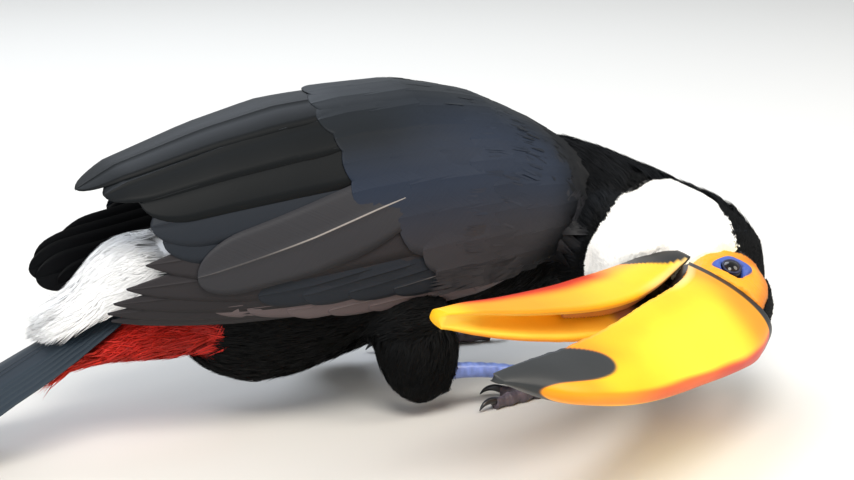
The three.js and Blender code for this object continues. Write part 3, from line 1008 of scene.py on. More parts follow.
@dataclass(frozen=True)
class CoatKind:
    """How one stretch of coat grows: sizes in millimetres."""

    name: str
    ground: Ground
    length: float
    width: float
    spread: float
    spacing: float
    lift: float
    slot: str
    finish: Finish = DARK_COAT
    strands: int = 6
    tip_light_gain: float = 1.3  # how much lighter a strand ends than it starts, painted as light on its open tip
    scatter: float = 0.12
    stray: float = 0.16  # how far strands stand off the lie
    tones: float = 0.15  # how much strands differ in tone
    ragged: float = 0.15  # how unevenly a tuft's strands end
    held: bool = False  # its tips stay inside its own mark
    margin: float = 0.4  # how far inside
    trail: str = ""  # the solid whose end its tufts follow
    past_end: float = 0.0  # how far they run past that end


BLACK_SLOT = "black_feathers"
# After its name and ground each has its length, width, spread, spacing and lift.
COATS = (
    CoatKind("coat_back", Ground.BACK, 13, 0.5, 4.0, 1.6, 3.4, BLACK_SLOT, held=True),
    CoatKind(
        "coat_crown", Ground.CROWN, 7.5, 0.42, 2.6, 1.25, 1.4, BLACK_SLOT, tip_light_gain=1.2, held=True
    ),
    CoatKind("coat_belly", Ground.BELLY, 15, 0.5, 4.2, 1.9, 3.4, BLACK_SLOT, scatter=0.18, held=True),
    CoatKind(
        "coat_white", Ground.WHITE, 7.5, 0.62, 3.2, 1.0, 1.3, "neck_feathers", WHITE_COAT, tip_light_gain=1.0,
        scatter=0.06, stray=0.05, tones=0.04, held=True, margin=1.6,
    ),
    CoatKind(
        "coat_rump", Ground.RUMP, 19, 0.5, 5.6, 1.5, 4.4, "white_feathers", WHITE_COAT, tip_light_gain=1.0,
        scatter=0.16, tones=0.05, trail="rump_coverts", past_end=-0.5,
    ),
    CoatKind(
        "coat_vent", Ground.VENT, 20, 0.55, 5.6, 1.5, 3.8, "red_feathers", RED_COAT, scatter=0.24,
        stray=0.25, tones=0.2, trail="vent_coverts", past_end=7.0,
    ),
    CoatKind("coat_thigh", Ground.THIGH, 15, 0.45, 4.2, 1.55, 3.2, BLACK_SLOT, scatter=0.2),
)
WING_COATS = {
    side: CoatKind(
        f"coat_wing_{word}", Ground.WING, 21, 1.7, 11.0, 4.0, 0.3, "flight_feathers", WING_COAT,
        strands=13, tip_light_gain=1.06, scatter=0.03, stray=0.012, tones=0.015, ragged=0.04,
    )
    for side, word in SIDES.items()
}


@dataclass
class Tufts:
    """Where the tufts of one piece stand, one row each."""

    root: Array
    spot: Array  # the root's place on the bake map
    size: Array  # as a share of the full size
    stations: Array  # root, middle and tip
    normals: Array
    across: Array

    def only(self, keep: Array) -> "Tufts":
        """The tufts that are kept."""
        return Tufts(**{name: values[keep] for name, values in vars(self).items()})


class Coat:
    """Grows tufts on the skin: each is a small fan of tapering strands that follows the surface."""

    covert_reach: ClassVar[float] = 62.0  # how far back the small coverts run, in millimetres
    most: ClassVar[int] = 11000  # tufts in a piece
    root_depth: ClassVar[float] = 0.4
    lowest: ClassVar[float] = 0.6  # how far strands stay off the floor

    def __init__(self, skin: Piece) -> None:
        """Reads the skin, and lays the wings' fronts over it for tufts to run onto.

        Args:
            skin: The finished skin piece.
        """
        mesh = skin.data
        mesh.calc_loop_triangles()
        triangles = mesh.loop_triangles
        vertices = read(triangles, "vertices", 3, np.int32)
        places = BIRD.from_row(vertex_places(mesh))
        self.corners = places[vertices]
        self.normals = read(mesh.vertex_normals, "vector").astype(float)[vertices]
        maps = read(mesh.uv_layers[BAKE_MAP].uv, "vector", 2)
        self.maps = maps[read(triangles, "loops", 3, np.int32)]
        a, b, c = self.corners.transpose(1, 0, 2)
        self.areas = np.linalg.norm(np.cross(b - a, c - a), axis=1) / 2
        self.kinds = MARKS.ground(self.corners.mean(1))
        polygons = vertices.tolist()
        cover = [places]
        for side in SIDES:
            angle, share = np.meshgrid(np.arange(-3, 114, 3.0), np.linspace(0, 1, 40), indexing="ij")
            x = WING.front(angle) + (-78 - WING.front(angle)) * share
            start = sum(len(p) for p in cover)
            cover.append(WING.at(x, angle, np.full(x.shape, -0.35), side).reshape(-1, 3))
            quads = grid_faces(*x.shape) + start
            polygons += (quads if side < 0 else quads[:, ::-1]).tolist()
        self.tree = BVHTree.FromPolygons(np.concatenate(cover).tolist(), polygons)

    def nearest(self, p: Array, like: Array) -> tuple[Array, Array]:
        """The nearest places on the bird.

        Args:
            p: Places to start from.
            like: Directions that tell the outside from the inside.

        Returns:
            The places found and the normals there.
        """
        spots, ways = np.empty_like(p), np.empty_like(p)
        for i, place in enumerate(p):
            spots[i], ways[i] = self.tree.find_nearest(Vector(place))[:2]
        return spots, ways * np.where(dot(ways, like) < 0, -1, 1)[:, None]

    def roots(self, coat: CoatKind, rng: Chance) -> tuple[Array, Array, Array]:
        """Picks where the tufts grow.

        Args:
            coat: The stretch of coat.
            rng: The seeded source of chance.

        Returns:
            The roots' places, normals and places on the bake map.
        """
        share = self.areas * (self.kinds == coat.ground.value)
        count = int(share.sum() / coat.spacing**2 * 2.2)
        picked = rng.choice(len(share), count, p=share / share.sum())
        mix = rng.dirichlet((1, 1, 1), count)[..., None]
        places, normals, maps = (
            (values[picked] * mix).sum(1) for values in (self.corners, self.normals, self.maps)
        )
        cell = np.round(places / (coat.spacing * 0.8)).astype(int)
        _, first = np.unique(cell, axis=0, return_index=True)
        keep = first[~hidden_under_wings(places[first])]
        keep = rng.permutation(keep)[: self.most]
        return places[keep], unit(normals)[keep], maps[keep]

    def wing_roots(self, coat: CoatKind, side: int, rng: Chance) -> tuple[Array, Array, Array]:
        """Picks where the soft coverts over a wing's front grow.

        Args:
            coat: The stretch of coat.
            side: -1 on the right, 1 on the left.
            rng: The seeded source of chance.

        Returns:
            The roots' places, normals and places on the bake map.
        """
        step = coat.spacing
        x, angle = np.meshgrid(np.arange(76, -86, -step), np.arange(-2, 112, step), indexing="ij")
        x, angle = ((v + rng.uniform(-0.7, 0.7, v.shape) * step).ravel() for v in (x, angle))
        end = WING.front(angle) - self.covert_reach
        thin = rng.uniform(0, 1, len(x)) < soft(x - end, 0, self.covert_reach * 0.9)
        keep = (x > end) & (x < WING.front(angle)) & thin
        x, angle = x[keep], angle[keep]
        places = WING.at(x, angle, np.full(len(x), -0.5), side)
        normals = unit(WING.at(x, angle, np.full(len(x), 1.0), side) - places)
        return places, normals, np.stack([(x + 200) / 290, (angle + 8) / 130], 1)

    def laid(self, coat: CoatKind, side: int, rng: Chance) -> Tufts:
        """Lays the tufts along the surface.

        Args:
            coat: The stretch of coat.
            side: -1 or 1 over a wing, 0 on the skin.
            rng: The seeded source of chance.

        Returns:
            The tufts that have room.
        """
        root, normal, spot = self.wing_roots(coat, side, rng) if side else self.roots(coat, rng)
        n = len(root)
        q = BIRD.to_head(root)
        near_face = soft(np.linalg.norm(q - np.array([-10.0, 0, 5]), axis=1), 62, 26) * (side == 0)
        size = (1 - 0.55 * near_face) * rng.uniform(0.8, 1.2, n)
        length = coat.length * size
        if coat.trail:
            last = BIRD.from_row(np.array(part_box(coat.trail)[0])[None])[0, 0] - coat.past_end
            length = np.minimum(length, np.maximum(root[:, 0] - last, 2.5) * 1.1)
        way = LIE.at(root, np.full(n, coat.ground.value)) + rng.normal(0, coat.scatter, (n, 3))
        way = along_skin(way, normal)
        for _ in range(3 if coat.held else 1):
            half = (length * 0.5)[:, None]
            middle, middle_normal = self.nearest(root + way * half, normal)
            onward = along_skin(middle - root, middle_normal)
            tip, tip_normal = self.nearest(middle + onward * half, middle_normal)
            strayed = self.strayed(coat, tip - onward * coat.margin)
            length = np.where(strayed, length * 0.55, length)
        keep = ~strayed
        if coat.trail:
            # Near the blunt end of the coverts the tufts run on straight, along the tail.
            along = unit(Tail.direction + rng.normal(0, coat.scatter * 0.5, (n, 3)))
            share = soft(-root[:, 0], -last - 34, -last - 16)
            middle = blend(middle, root + along * (length * 0.5)[:, None], share)
            tip = blend(tip, root + along * length[:, None], share)
            tip_normal = unit(blend(tip_normal, middle_normal, share))
            keep &= dot(normal, Tail.direction) < 0.6
            if coat.ground is Ground.RUMP:
                keep &= normal[:, 2] > -0.1
        lift = coat.lift * (0.45 + 0.55 * (1 - near_face)) * rng.uniform(0.7, 1.15, n)
        if coat.trail:
            lift *= 0.3 + 0.7 * soft(root[:, 0] - last, 2, 24)
        rise = np.stack([np.full(n, -self.root_depth), lift * 0.75, lift], 1)
        normals = np.stack([normal, middle_normal, tip_normal], 1)
        stations = np.stack([root, middle, tip], 1) + normals * rise[..., None]
        across = unit(np.cross(normals, np.stack([way, onward, onward], 1)))
        return Tufts(root, spot, size, stations, normals, across).only(keep)

    def strands(self, coat: CoatKind, tufts: Tufts, rng: Chance) -> tuple[Array, Array]:
        """Splits each tuft into tapering strands.

        Args:
            coat: The stretch of coat.
            tufts: The laid tufts.
            rng: The seeded source of chance.

        Returns:
            Five places for each strand, and each strand's lane across its tuft.
        """
        n, s = len(tufts.root), coat.strands
        lane = np.linspace(-1, 1, s)[None] + rng.normal(0, 0.12, (n, s))
        wide = (coat.spread * tufts.size)[:, None, None] * np.array([0.18, 0.42, 0.5])
        short = 1 - 0.3 * lane**2 * rng.uniform(0.3, 1.0, (n, s))
        short -= rng.uniform(0, coat.ragged, (n, s))
        across, up = tufts.across[:, None], tufts.normals[:, None]
        centre = tufts.stations[:, None] + across * (lane[..., None] * wide)[..., None]
        middle, tip = centre[:, :, 1], centre[:, :, 2]
        centre[:, :, 2] = middle + (tip - middle) * short[..., None]
        centre += up * rng.normal(0, coat.stray, (n, s, 1, 1)) * np.array([0, 1, 1.6])[:, None]
        thin = coat.width * 0.5 * (0.6 + 0.4 * tufts.size)[:, None, None]
        half = thin * rng.uniform(0.7, 1.25, (n, s, 1))
        twist = rng.normal(0, 2.2 * coat.stray, (n, s, 1, 1))
        edge = unit(across + up * twist) * half[..., None]
        left, right = centre - edge, centre + edge
        corners = [left[:, :, 0], right[:, :, 0], left[:, :, 1], right[:, :, 1], centre[:, :, 2]]
        places = np.stack(corners, 2).reshape(-1, 3)
        places[:, 2] = np.maximum(places[:, 2], self.lowest)
        return places, lane

    def grow(self, coat: CoatKind, seed: int, side: int = 0) -> Piece:
        """Makes one coat piece.

        Args:
            coat: How it grows.
            seed: Seeds its chance.
            side: -1 or 1 for the coverts over a wing.

        Returns:
            The piece.
        """
        rng = np.random.default_rng(seed)
        tufts = self.laid(coat, side, rng)
        places, lane = self.strands(coat, tufts, rng)
        n, s = lane.shape
        base = np.arange(n * s)[:, None] * 5
        faces = [base + np.array(corners)[None] for corners in ((0, 1, 3), (0, 3, 2), (2, 3, 4))]
        piece = mesh_from(coat.name, places, [np.concatenate(faces)])
        paint = MARKS.colours(tufts.root, np.full(n, coat.ground.value))
        low, high = 1 - coat.tones, 1 + coat.tones
        gain = rng.uniform(low, high, (n, 1, 1, 1)) * rng.uniform(low, high, (n, s, 1, 1))
        gain = gain if side == 0 else gain * rng.uniform(0.9, 1.1, (n, 1, 1, 1))
        # Painted shade and light: each strand's root, under the tufts over it, is painted darker, and
        # its tip lighter.
        along = np.array([0.8, 0.8, 1.0, 1.0, coat.tip_light_gain])[:, None]
        tint = paint[:, None, None] * gain * along
        add_tint(piece.data, np.clip(tint.reshape(-1, 3), 0, 0.95))
        spot = np.empty((n, s, 5, 2))
        sideways = 0.45 * lane[..., None] + 0.05 * np.array([-1, 1, -1, 1, 0])
        spot[..., 0] = tufts.spot[:, None, None, 0] + PATCH * sideways
        lengthwise = np.array([-0.5, -0.5, 0.0, 0.0, 0.5])
        spot[..., 1] = tufts.spot[:, None, None, 1] + PATCH * lengthwise
        add_map(piece.data, BAKE_MAP, np.clip(spot.reshape(-1, 2), 0, 1))
        return dress(piece, coat.finish, coat.slot)

    @staticmethod
    def strayed(coat: CoatKind, tips: Array) -> Array:
        """Whether tips lie on a stretch of the other colour."""
        if not coat.held:
            return np.zeros(len(tips), bool)
        kind = MARKS.ground(tips)
        pale = kind == Ground.WHITE.value
        bare = (kind == Ground.BARE.value) | (kind == Ground.MOUTH.value)
        return (~pale if coat.ground is Ground.WHITE else pale) & ~bare


# ---------------- wings


@dataclass(frozen=True)
class WingForm:
    """The folded wing's outer envelope, as in its solid: rounded sections along the body."""

    middle: Table = ((-200, 84), (-87, 82), (0, 84), (70, 82))
    reach: Table = (
        (-200, 31), (-160, 42), (-120, 50), (-87, 55), (-40, 58), (0, 57), (45, 49), (72, 39.5)
    )
    rise: Table = (
        (-200, 20), (-182, 30), (-160, 42.5), (-120, 56), (-87, 64.5), (-57, 67), (-20, 66.5),
        (20, 58), (56, 42.5), (72, 36),
    )
    fall: Table = ((-200, 40), (-87, 52), (0, 50), (72, 34))
    leading: Table = ((-4, 44), (27, 60), (57, 69), (88, 60), (118, 34))  # x at angles down the edge
    # How far down the skin is out of sight under the wing: x and angle.
    covered: Table = ((-133, 112), (-93, 122), (-43, 128), (5, 118), (34, 121), (70, 118))
    fullness: float = 0.93  # 1 would be an oval section

    def rounded(self, v: Array) -> Array:
        """Fills the section out a little."""
        return np.sign(v) * np.abs(v) ** self.fullness

    def at(self, x: Array, angle: Array, lift: Array, side: int) -> Array:
        """A place over the wing's envelope.

        Args:
            x: Along the body, in the bird's frame.
            angle: Degrees from the top of the back, outwards and down.
            lift: Millimetres out from the envelope.
            side: -1 on the right, 1 on the left.

        Returns:
            Places in the bird's frame.
        """
        a = np.radians(angle)
        rise = np.where(np.cos(a) > 0, table_value(self.rise, x), table_value(self.fall, x)) + lift
        y = side * (table_value(self.reach, x) + lift) * self.rounded(np.sin(a))
        z = table_value(self.middle, x) + rise * self.rounded(np.cos(a))
        return np.stack(np.broadcast_arrays(x, y, z), -1)

    def front(self, angle: Array) -> Array:
        """Where the wing's leading edge lies at angles down it."""
        return table_value(self.leading, angle)

    def angle_of(self, p: Array) -> Array:
        """The envelope's angle at places near it, in degrees."""
        x = p[:, 0]
        dz = p[:, 2] - table_value(self.middle, x)
        s = np.abs(p[:, 1]) / table_value(self.reach, x)
        c = dz / np.where(dz > 0, table_value(self.rise, x), table_value(self.fall, x))
        return np.degrees(np.arctan2(s, c))


WING = WingForm()


def hidden_under_wings(p: Array) -> Array:
    """Whether places on the skin are well under a folded wing."""
    angle = WING.angle_of(p)
    lowest = table_value(WING.covered, p[:, 0])
    return (p[:, 0] < 46) & (p[:, 0] > -140) & (angle > 12) & (angle < lowest - 9)


@dataclass(frozen=True)
class Vane:
    """One feather: places as (along, across) on its surface, sizes in millimetres."""

    root: Spot
    tip: Spot
    width: float
    lift: float
    tone: str
    shaft: str = "17191c"
    edge: Optional[str] = None
    blunt: float = 0.82  # where along it the tip starts to round off
    oblique: float = 0.0
    point: float = 0.5  # a half for a round tip, more for a pointed one
    fray: float = 0.0
    rear: float = 0.15  # how far its tip lifts
    ridge: float = 0.14  # how high its shaft stands
    marked: bool = False  # painted with the wing's colours, painted sheen included, instead of the tone

    @property
    def length(self) -> float:
        """How long it is."""
        return abs(self.tip[0] - self.root[0])


@dataclass
class VanePiece:
    """Many vanes joined in one mesh, each on its own strip of the bake map."""

    name: str
    along: int
    thickness: float
    seed: int
    per_mm: float = 1.0  # across units for a millimetre
    across: int = 9

    def __post_init__(self) -> None:
        """Starts with no vanes."""
        self.places: list[Array] = []
        self.paints: list[Array] = []
        self.vanes: list[Array] = []
        self.rng = np.random.default_rng(self.seed)

    def paint(self, vane: Vane, tt: Array, ss: Array, top: Array, shaft: Array) -> Array:
        """One vane's colours.

        Args:
            vane: The feather.
            tt: How far along it each place lies, 0 to 1.
            ss: How far across it, -1 to 1.
            top: The places.
            shaft: Whether they are on the shaft.

        Returns:
            A linear colour for each place.
        """
        paint = np.tile(linear(vane.tone), (*tt.shape, 1)) * self.rng.uniform(0.96, 1.04)
        if vane.marked:
            spots = top.reshape(-1, 3)
            found = MARKS.colours(spots, np.full(len(spots), Ground.WING.value))
            paint = found.reshape(paint.shape) * self.rng.uniform(0.95, 1.05)
        if vane.edge:
            rim = np.maximum(soft(np.abs(ss), 0.55, 1.0) * 0.8, soft(tt, 0.8, 1.0))
            paint = blend(paint, linear(vane.edge), rim)
        if not vane.marked:
            shown = shaft * 0.9 * (1 - 0.85 * soft(tt, 0.5, 0.8))
            paint = blend(paint, linear(vane.shaft), shown)
        return paint

    def add(self, surface: Surface, vane: Vane, tilt: float, hidden: float = 0.0) -> None:
        """Adds one vane.

        Args:
            surface: Gives the place for an along value, an across value and a lift.
            vane: The feather.
            tilt: How much higher its edge stands on one side than on the other.
            hidden: How much of its quill lies under the coverts before its root.
        """
        rib = 0.34 / max(vane.width, 1)  # half the shaft's width
        ribs = (-2.2 * rib, -rib, rib, 2.2 * rib)
        s = np.unique(np.round([*np.linspace(-1, 1, self.across), *ribs], 5))
        blunt = vane.blunt
        bend = blunt + (1 - blunt) * np.sin(np.linspace(0, math.pi / 2, 9))
        t = np.concatenate([np.linspace(0, blunt, self.along - 8)[:-1], bend])
        tt, ss = np.meshgrid(t, s, indexing="ij")
        grow = soft(tt, -0.15, 0.35)
        # The upper vane is cut back sooner, so tips point down the wing's edge.
        turn = np.where(ss < 0, blunt - vane.oblique, blunt)
        end = np.clip(1 - (np.clip(tt - turn, 0, 1) / (1 - turn)) ** 2, 0, 1) ** vane.point
        half = vane.width / 2 * (0.35 + 0.65 * grow) * np.maximum(end, 0.02)
        notch = vane.fray * self.rng.normal(0, 1, tt.shape) * (np.abs(ss) > 0.9)
        u = vane.root[0] + (vane.tip[0] - vane.root[0]) * tt
        v = vane.root[1] + (vane.tip[1] - vane.root[1]) * tt + ss * (half + notch) * self.per_mm
        shaft = np.abs(ss) <= rib * 1.01
        lift = vane.lift + tilt * 0.5 * ss + 0.3 * (1 - ss**2) + vane.ridge * shaft
        lift = lift - 0.5 * (1 - soft(tt, 0.0, 0.3)) + vane.rear * soft(tt, 0.7, 1.0)
        top = surface(u, v, lift)
        paint = self.paint(vane, tt, ss, top, shaft)
        self.places.append(np.stack([top, surface(u, v, lift - self.thickness)]))
        self.paints.append(np.stack([paint, paint * 0.8]))
        self.vanes.append(np.stack([ss * half / 10, tt * (vane.length + hidden) / 10], -1))

    def strips(self, rows: int, columns: int) -> Array:
        """The bake map: a square cell for each vane, with its two faces side by side."""
        across = int(math.ceil(math.sqrt(len(self.places))))
        t, s = np.meshgrid(np.linspace(0, 1, rows), np.linspace(0, 1, columns), indexing="ij")
        maps = []
        for k in range(len(self.places)):
            row, column = divmod(k, across)
            for face in (0, 1):
                x = (column + 0.04 + 0.44 * s + 0.48 * face) / across
                y = (row + 0.04 + 0.92 * t) / across
                maps.append(np.stack([x, y], -1).reshape(-1, 2))
        return np.concatenate(maps)

    def build(self) -> Piece:
        """Joins the vanes into one object."""
        rows, columns = self.places[0].shape[1:3]
        n = rows * columns
        grid = grid_faces(rows, columns)
        front, back = np.arange(columns - 1), np.arange(n - 1, n - columns, -1)
        left, right = np.arange(n - columns, 0, -columns), np.arange(columns - 1, n - 1, columns)
        edge = np.concatenate([front, right, back, left])
        following = np.roll(edge, -1)
        rim = np.stack([following, edge, edge + n, following + n], -1)
        one = np.concatenate([grid, grid[:, ::-1] + n, rim])
        starts = np.arange(len(self.places))[:, None, None] * 2 * n
        places, paints = (
            np.concatenate([values.reshape(-1, 3) for values in kept])
            for kept in (self.places, self.paints)
        )
        piece = mesh_from(self.name, places, [(one[None] + starts).reshape(-1, 4)])
        add_tint(piece.data, paints)
        add_map(piece.data, BAKE_MAP, self.strips(rows, columns))
        vane = np.concatenate([np.tile(v.reshape(-1, 2), (2, 1)) for v in self.vanes])
        add_map(piece.data, VANE_MAP, vane)
        turn_outwards(piece)
        return piece


@dataclass
class Wing:
    """A folded wing: flight feathers and the coverts that lie over them."""

    side: int
    black: str = "0c0f11"
    # Painted sheen: the black secondaries are painted bluish slate for the sky's sheen on them.
    slate_sheen: str = "22262c"
    brown: str = "2b292b"
    worn: str = "313134"
    # Painted shadow: the far wing's primaries are painted black, where the near wing's are brown, for
    # the shade they lie in.
    far_wing_shadow: str = "0d0e10"
    mauve: str = "5c5253"
    pale_shaft: str = "958f8a"
    dark_shaft: str = "121417"
    # Root, tip and width, from the tertials on top down to the longest primary.
    right_long: Table = (
        ((-40, 14), (-177, 8), 34), ((-35, 30), (-170, 30), 34), ((-30, 45), (-158, 48), 32),
        ((-5, 56), (-156, 64), 28), ((4, 65), (-152, 74), 26), ((14, 73), (-160, 85), 29),
        ((18, 79), (-168, 97), 29), ((14, 84), (-173, 106), 27), ((0, 90), (-175, 113), 25),
        ((-10, 96), (-173, 119), 21),
    )
    left_long: Table = (
        ((-10, 16), (-112, 10), 34), ((-5, 32), (-122, 30), 34), ((-5, 46), (-134, 50), 30),
        ((-10, 60), (-141, 64), 28), ((-15, 70), (-145, 76), 24), ((-30, 80), (-150, 88), 27),
        ((-50, 86), (-172, 93), 25), ((-60, 90), (-184, 98), 23), ((-70, 94), (-187, 104), 23),
        ((-80, 98), (-184, 111), 23), ((-80, 102), (-174, 117), 21),
    )
    # Tips of the short secondaries along the lower edge, and of the row over them.
    lowest_tips: Table = (
        (-131, 111), (-116, 112), (-98, 114), (-78, 117), (-58, 119), (-38, 121), (-20, 119), (-4, 117)
    )
    upper_tips: Table = ((-112, 104), (-92, 105), (-70, 107), (-48, 109), (-28, 109), (-10, 107))
    # Start, length, width and number of the coverts in each row, from the rearmost forward.
    covert_rows: Table = (
        (-16, 54, 31, 9), (2, 48, 29, 9), (18, 42, 26, 9), (32, 36, 24, 10), (45, 30, 21, 10),
        (57, 26, 18, 10),
    )
    tertials: int = 3
    first_primary: int = 5
    root_inset: float = 8.0  # how far behind the leading edge the lowest roots stay
    covert_step: float = 42.0  # how much sooner the lowest coverts end
    left_tuck: float = 2.3  # how far the left wing's top lies under the right one's

    def surface(self, x: Array, angle: Array, lift: Array) -> Array:
        """A place over this wing."""
        tuck = 0.0 if self.side < 0 else -self.left_tuck
        return WING.at(x, angle, lift + tuck * soft(-angle, -60, -20), self.side)

    def long_feathers(self) -> list[Vane]:
        """Tertials, long secondaries and primaries: each lies over the next one down."""
        vanes = []
        for k, (root, tip, width) in enumerate(self.right_long if self.side < 0 else self.left_long):
            # The secondaries below the tertials are painted with the bluish sheen.
            tone, form = (self.black if k < self.tertials else self.slate_sheen), {"blunt": 0.84}
            if k >= self.first_primary:
                # The far wing's primaries are painted black as shadow.
                tone = self.brown if self.side < 0 else self.far_wing_shadow
            if k >= self.first_primary and self.side < 0:
                form = {"blunt": 0.6, "oblique": 0.3, "point": 0.8}
            vanes.append(Vane(root, tip, width, -0.7 - 0.22 * k, tone, self.dark_shaft, **form))
        return vanes

    def short_feathers(self) -> list[Vane]:
        """The two rows of short secondaries along the lower edge, with worn, pale shafts in them."""
        vanes = []
        for tips, length, fall, width, lift, tone, shaft, worn, blunt in (
            (self.lowest_tips, 66, 7, 17, -2.5, self.mauve, self.mauve, (3, 4), 0.62),
            # This row's bluish slate is painted sheen.
            (self.upper_tips, 62, 9, 18, -1.8, self.slate_sheen, self.dark_shaft, (3,), 0.66),
        ):
            for k, (x, angle) in enumerate(tips):
                front = float(WING.front(np.array(angle))) - self.root_inset
                root = (min(x + length, front), angle - fall)
                rib = self.pale_shaft if k in worn else shaft
                vanes.append(Vane(root, (x, angle), width, lift + 0.07 * k, tone, rib, blunt=blunt))
        return vanes

    def coverts(self) -> list[Vane]:
        """Greater, median and lesser coverts and the scapulars, in wide overlapping rows."""
        vanes = []
        rng = np.random.default_rng(40 + self.side)
        for number, (start, length, width, count) in enumerate(self.covert_rows):
            for k in range(count):
                angle = 102 - 98 * (k / (count - 1))
                # Low on the wing the coverts end well forward and bare the secondaries.
                low = float(soft(np.array(angle), 56, 100))
                place = start + low * self.covert_step * (1 - number / 5.5)
                front = float(WING.front(np.array([angle]))[0]) - 4
                root = (min(place + rng.uniform(-2.5, 2.5), front), angle - 2)
                tip = (place - length + rng.uniform(-4, 4), angle + 1)
                lift = -0.45 + 0.08 * number + 0.008 * k
                form = {"blunt": 0.66, "rear": -0.1, "ridge": 0.03, "marked": True}
                vanes.append(Vane(root, tip, width, lift, self.slate_sheen, **form))
        return vanes

    def build(self) -> None:
        """Makes the wing's pieces."""
        # One full secondary has slipped over its neighbours and shows its pale shaft.
        slipped = Vane((-24, 67), (-139, 92), 24, -0.42, self.worn, self.pale_shaft)
        word = SIDES[self.side]
        flight = VanePiece(f"flight_feathers_{word}", 24, 0.3, 11 + self.side, 1.12)
        for vane in (*self.long_feathers(), *self.short_feathers(), slipped):
            flight.add(self.surface, vane, tilt=0.55)
        dress(flight.build(), VANES, "flight_feathers", f"wing_{word}")
        small = VanePiece(f"covert_feathers_{word}", 16, 0.12, 21 + self.side, 1.05)
        for vane in self.coverts():
            small.add(self.surface, vane, tilt=0.1)
        dress(small.build(), VANES, "flight_feathers")


# ---------------- tail


@dataclass
class Tail:
    """Ten overlapping tail feathers on the solid's arched plane."""

    direction: ClassVar[Array] = np.array([-math.cos(TAIL_SLOPE), 0, -math.sin(TAIL_SLOPE)])
    length: float = 158.0
    widths: Row = (14, 18, 21.5, 24.5, 27, 28.5, 28)  # half the tail's width, along it
    start: float = 22.0
    feather_width: float = 19.5
    feather_step: float = 0.2
    pairs: int = 5
    # Partly painted sheen: the bluish cast of the tone and the edges stands for the blue-grey sheen on
    # the tail's upper side.
    tone: str = "232b33"
    edge: str = "2d3740"
    shaft: str = "181d22"

    def surface(self, u: Array, v: Array, lift: Array) -> Array:
        """A place on the tail: u along in millimetres, v across in millimetres."""
        above = np.array([self.direction[2], 0, -self.direction[0]])
        half = smooth_curve(self.widths, u / self.length)
        arch = 1.5 - 4.5 * (v / np.maximum(half, 1)) ** 2
        place = np.array(TAIL_ROOT) + u[..., None] * self.direction
        place = place + (arch + lift)[..., None] * above
        place[..., 1] += v
        place[..., 2] = np.maximum(place[..., 2], 0.15)
        return place

    def build(self) -> None:
        """Makes the tail's piece."""
        piece = VanePiece("tail_feathers", 26, 0.35, 31)
        for k in range(self.pairs):
            out = 1 - k / (self.pairs - 1)
            lift = -1.2 + self.feather_step * k
            for side in SIDES:
                root = (self.start, side * (1.5 + 8 * out))
                tip = (self.length - 1 - 9 * out**2, side * (2.5 + 17 * out))
                colours = (self.tone, self.shaft, self.edge)
                vane = Vane(root, tip, self.feather_width, lift, *colours, blunt=0.9, fray=0.1)
                piece.add(self.surface, vane, 0.16 * side, self.start)
        dress(piece.build(), VANES, "tail_feathers", "tail")


# ---------------- head


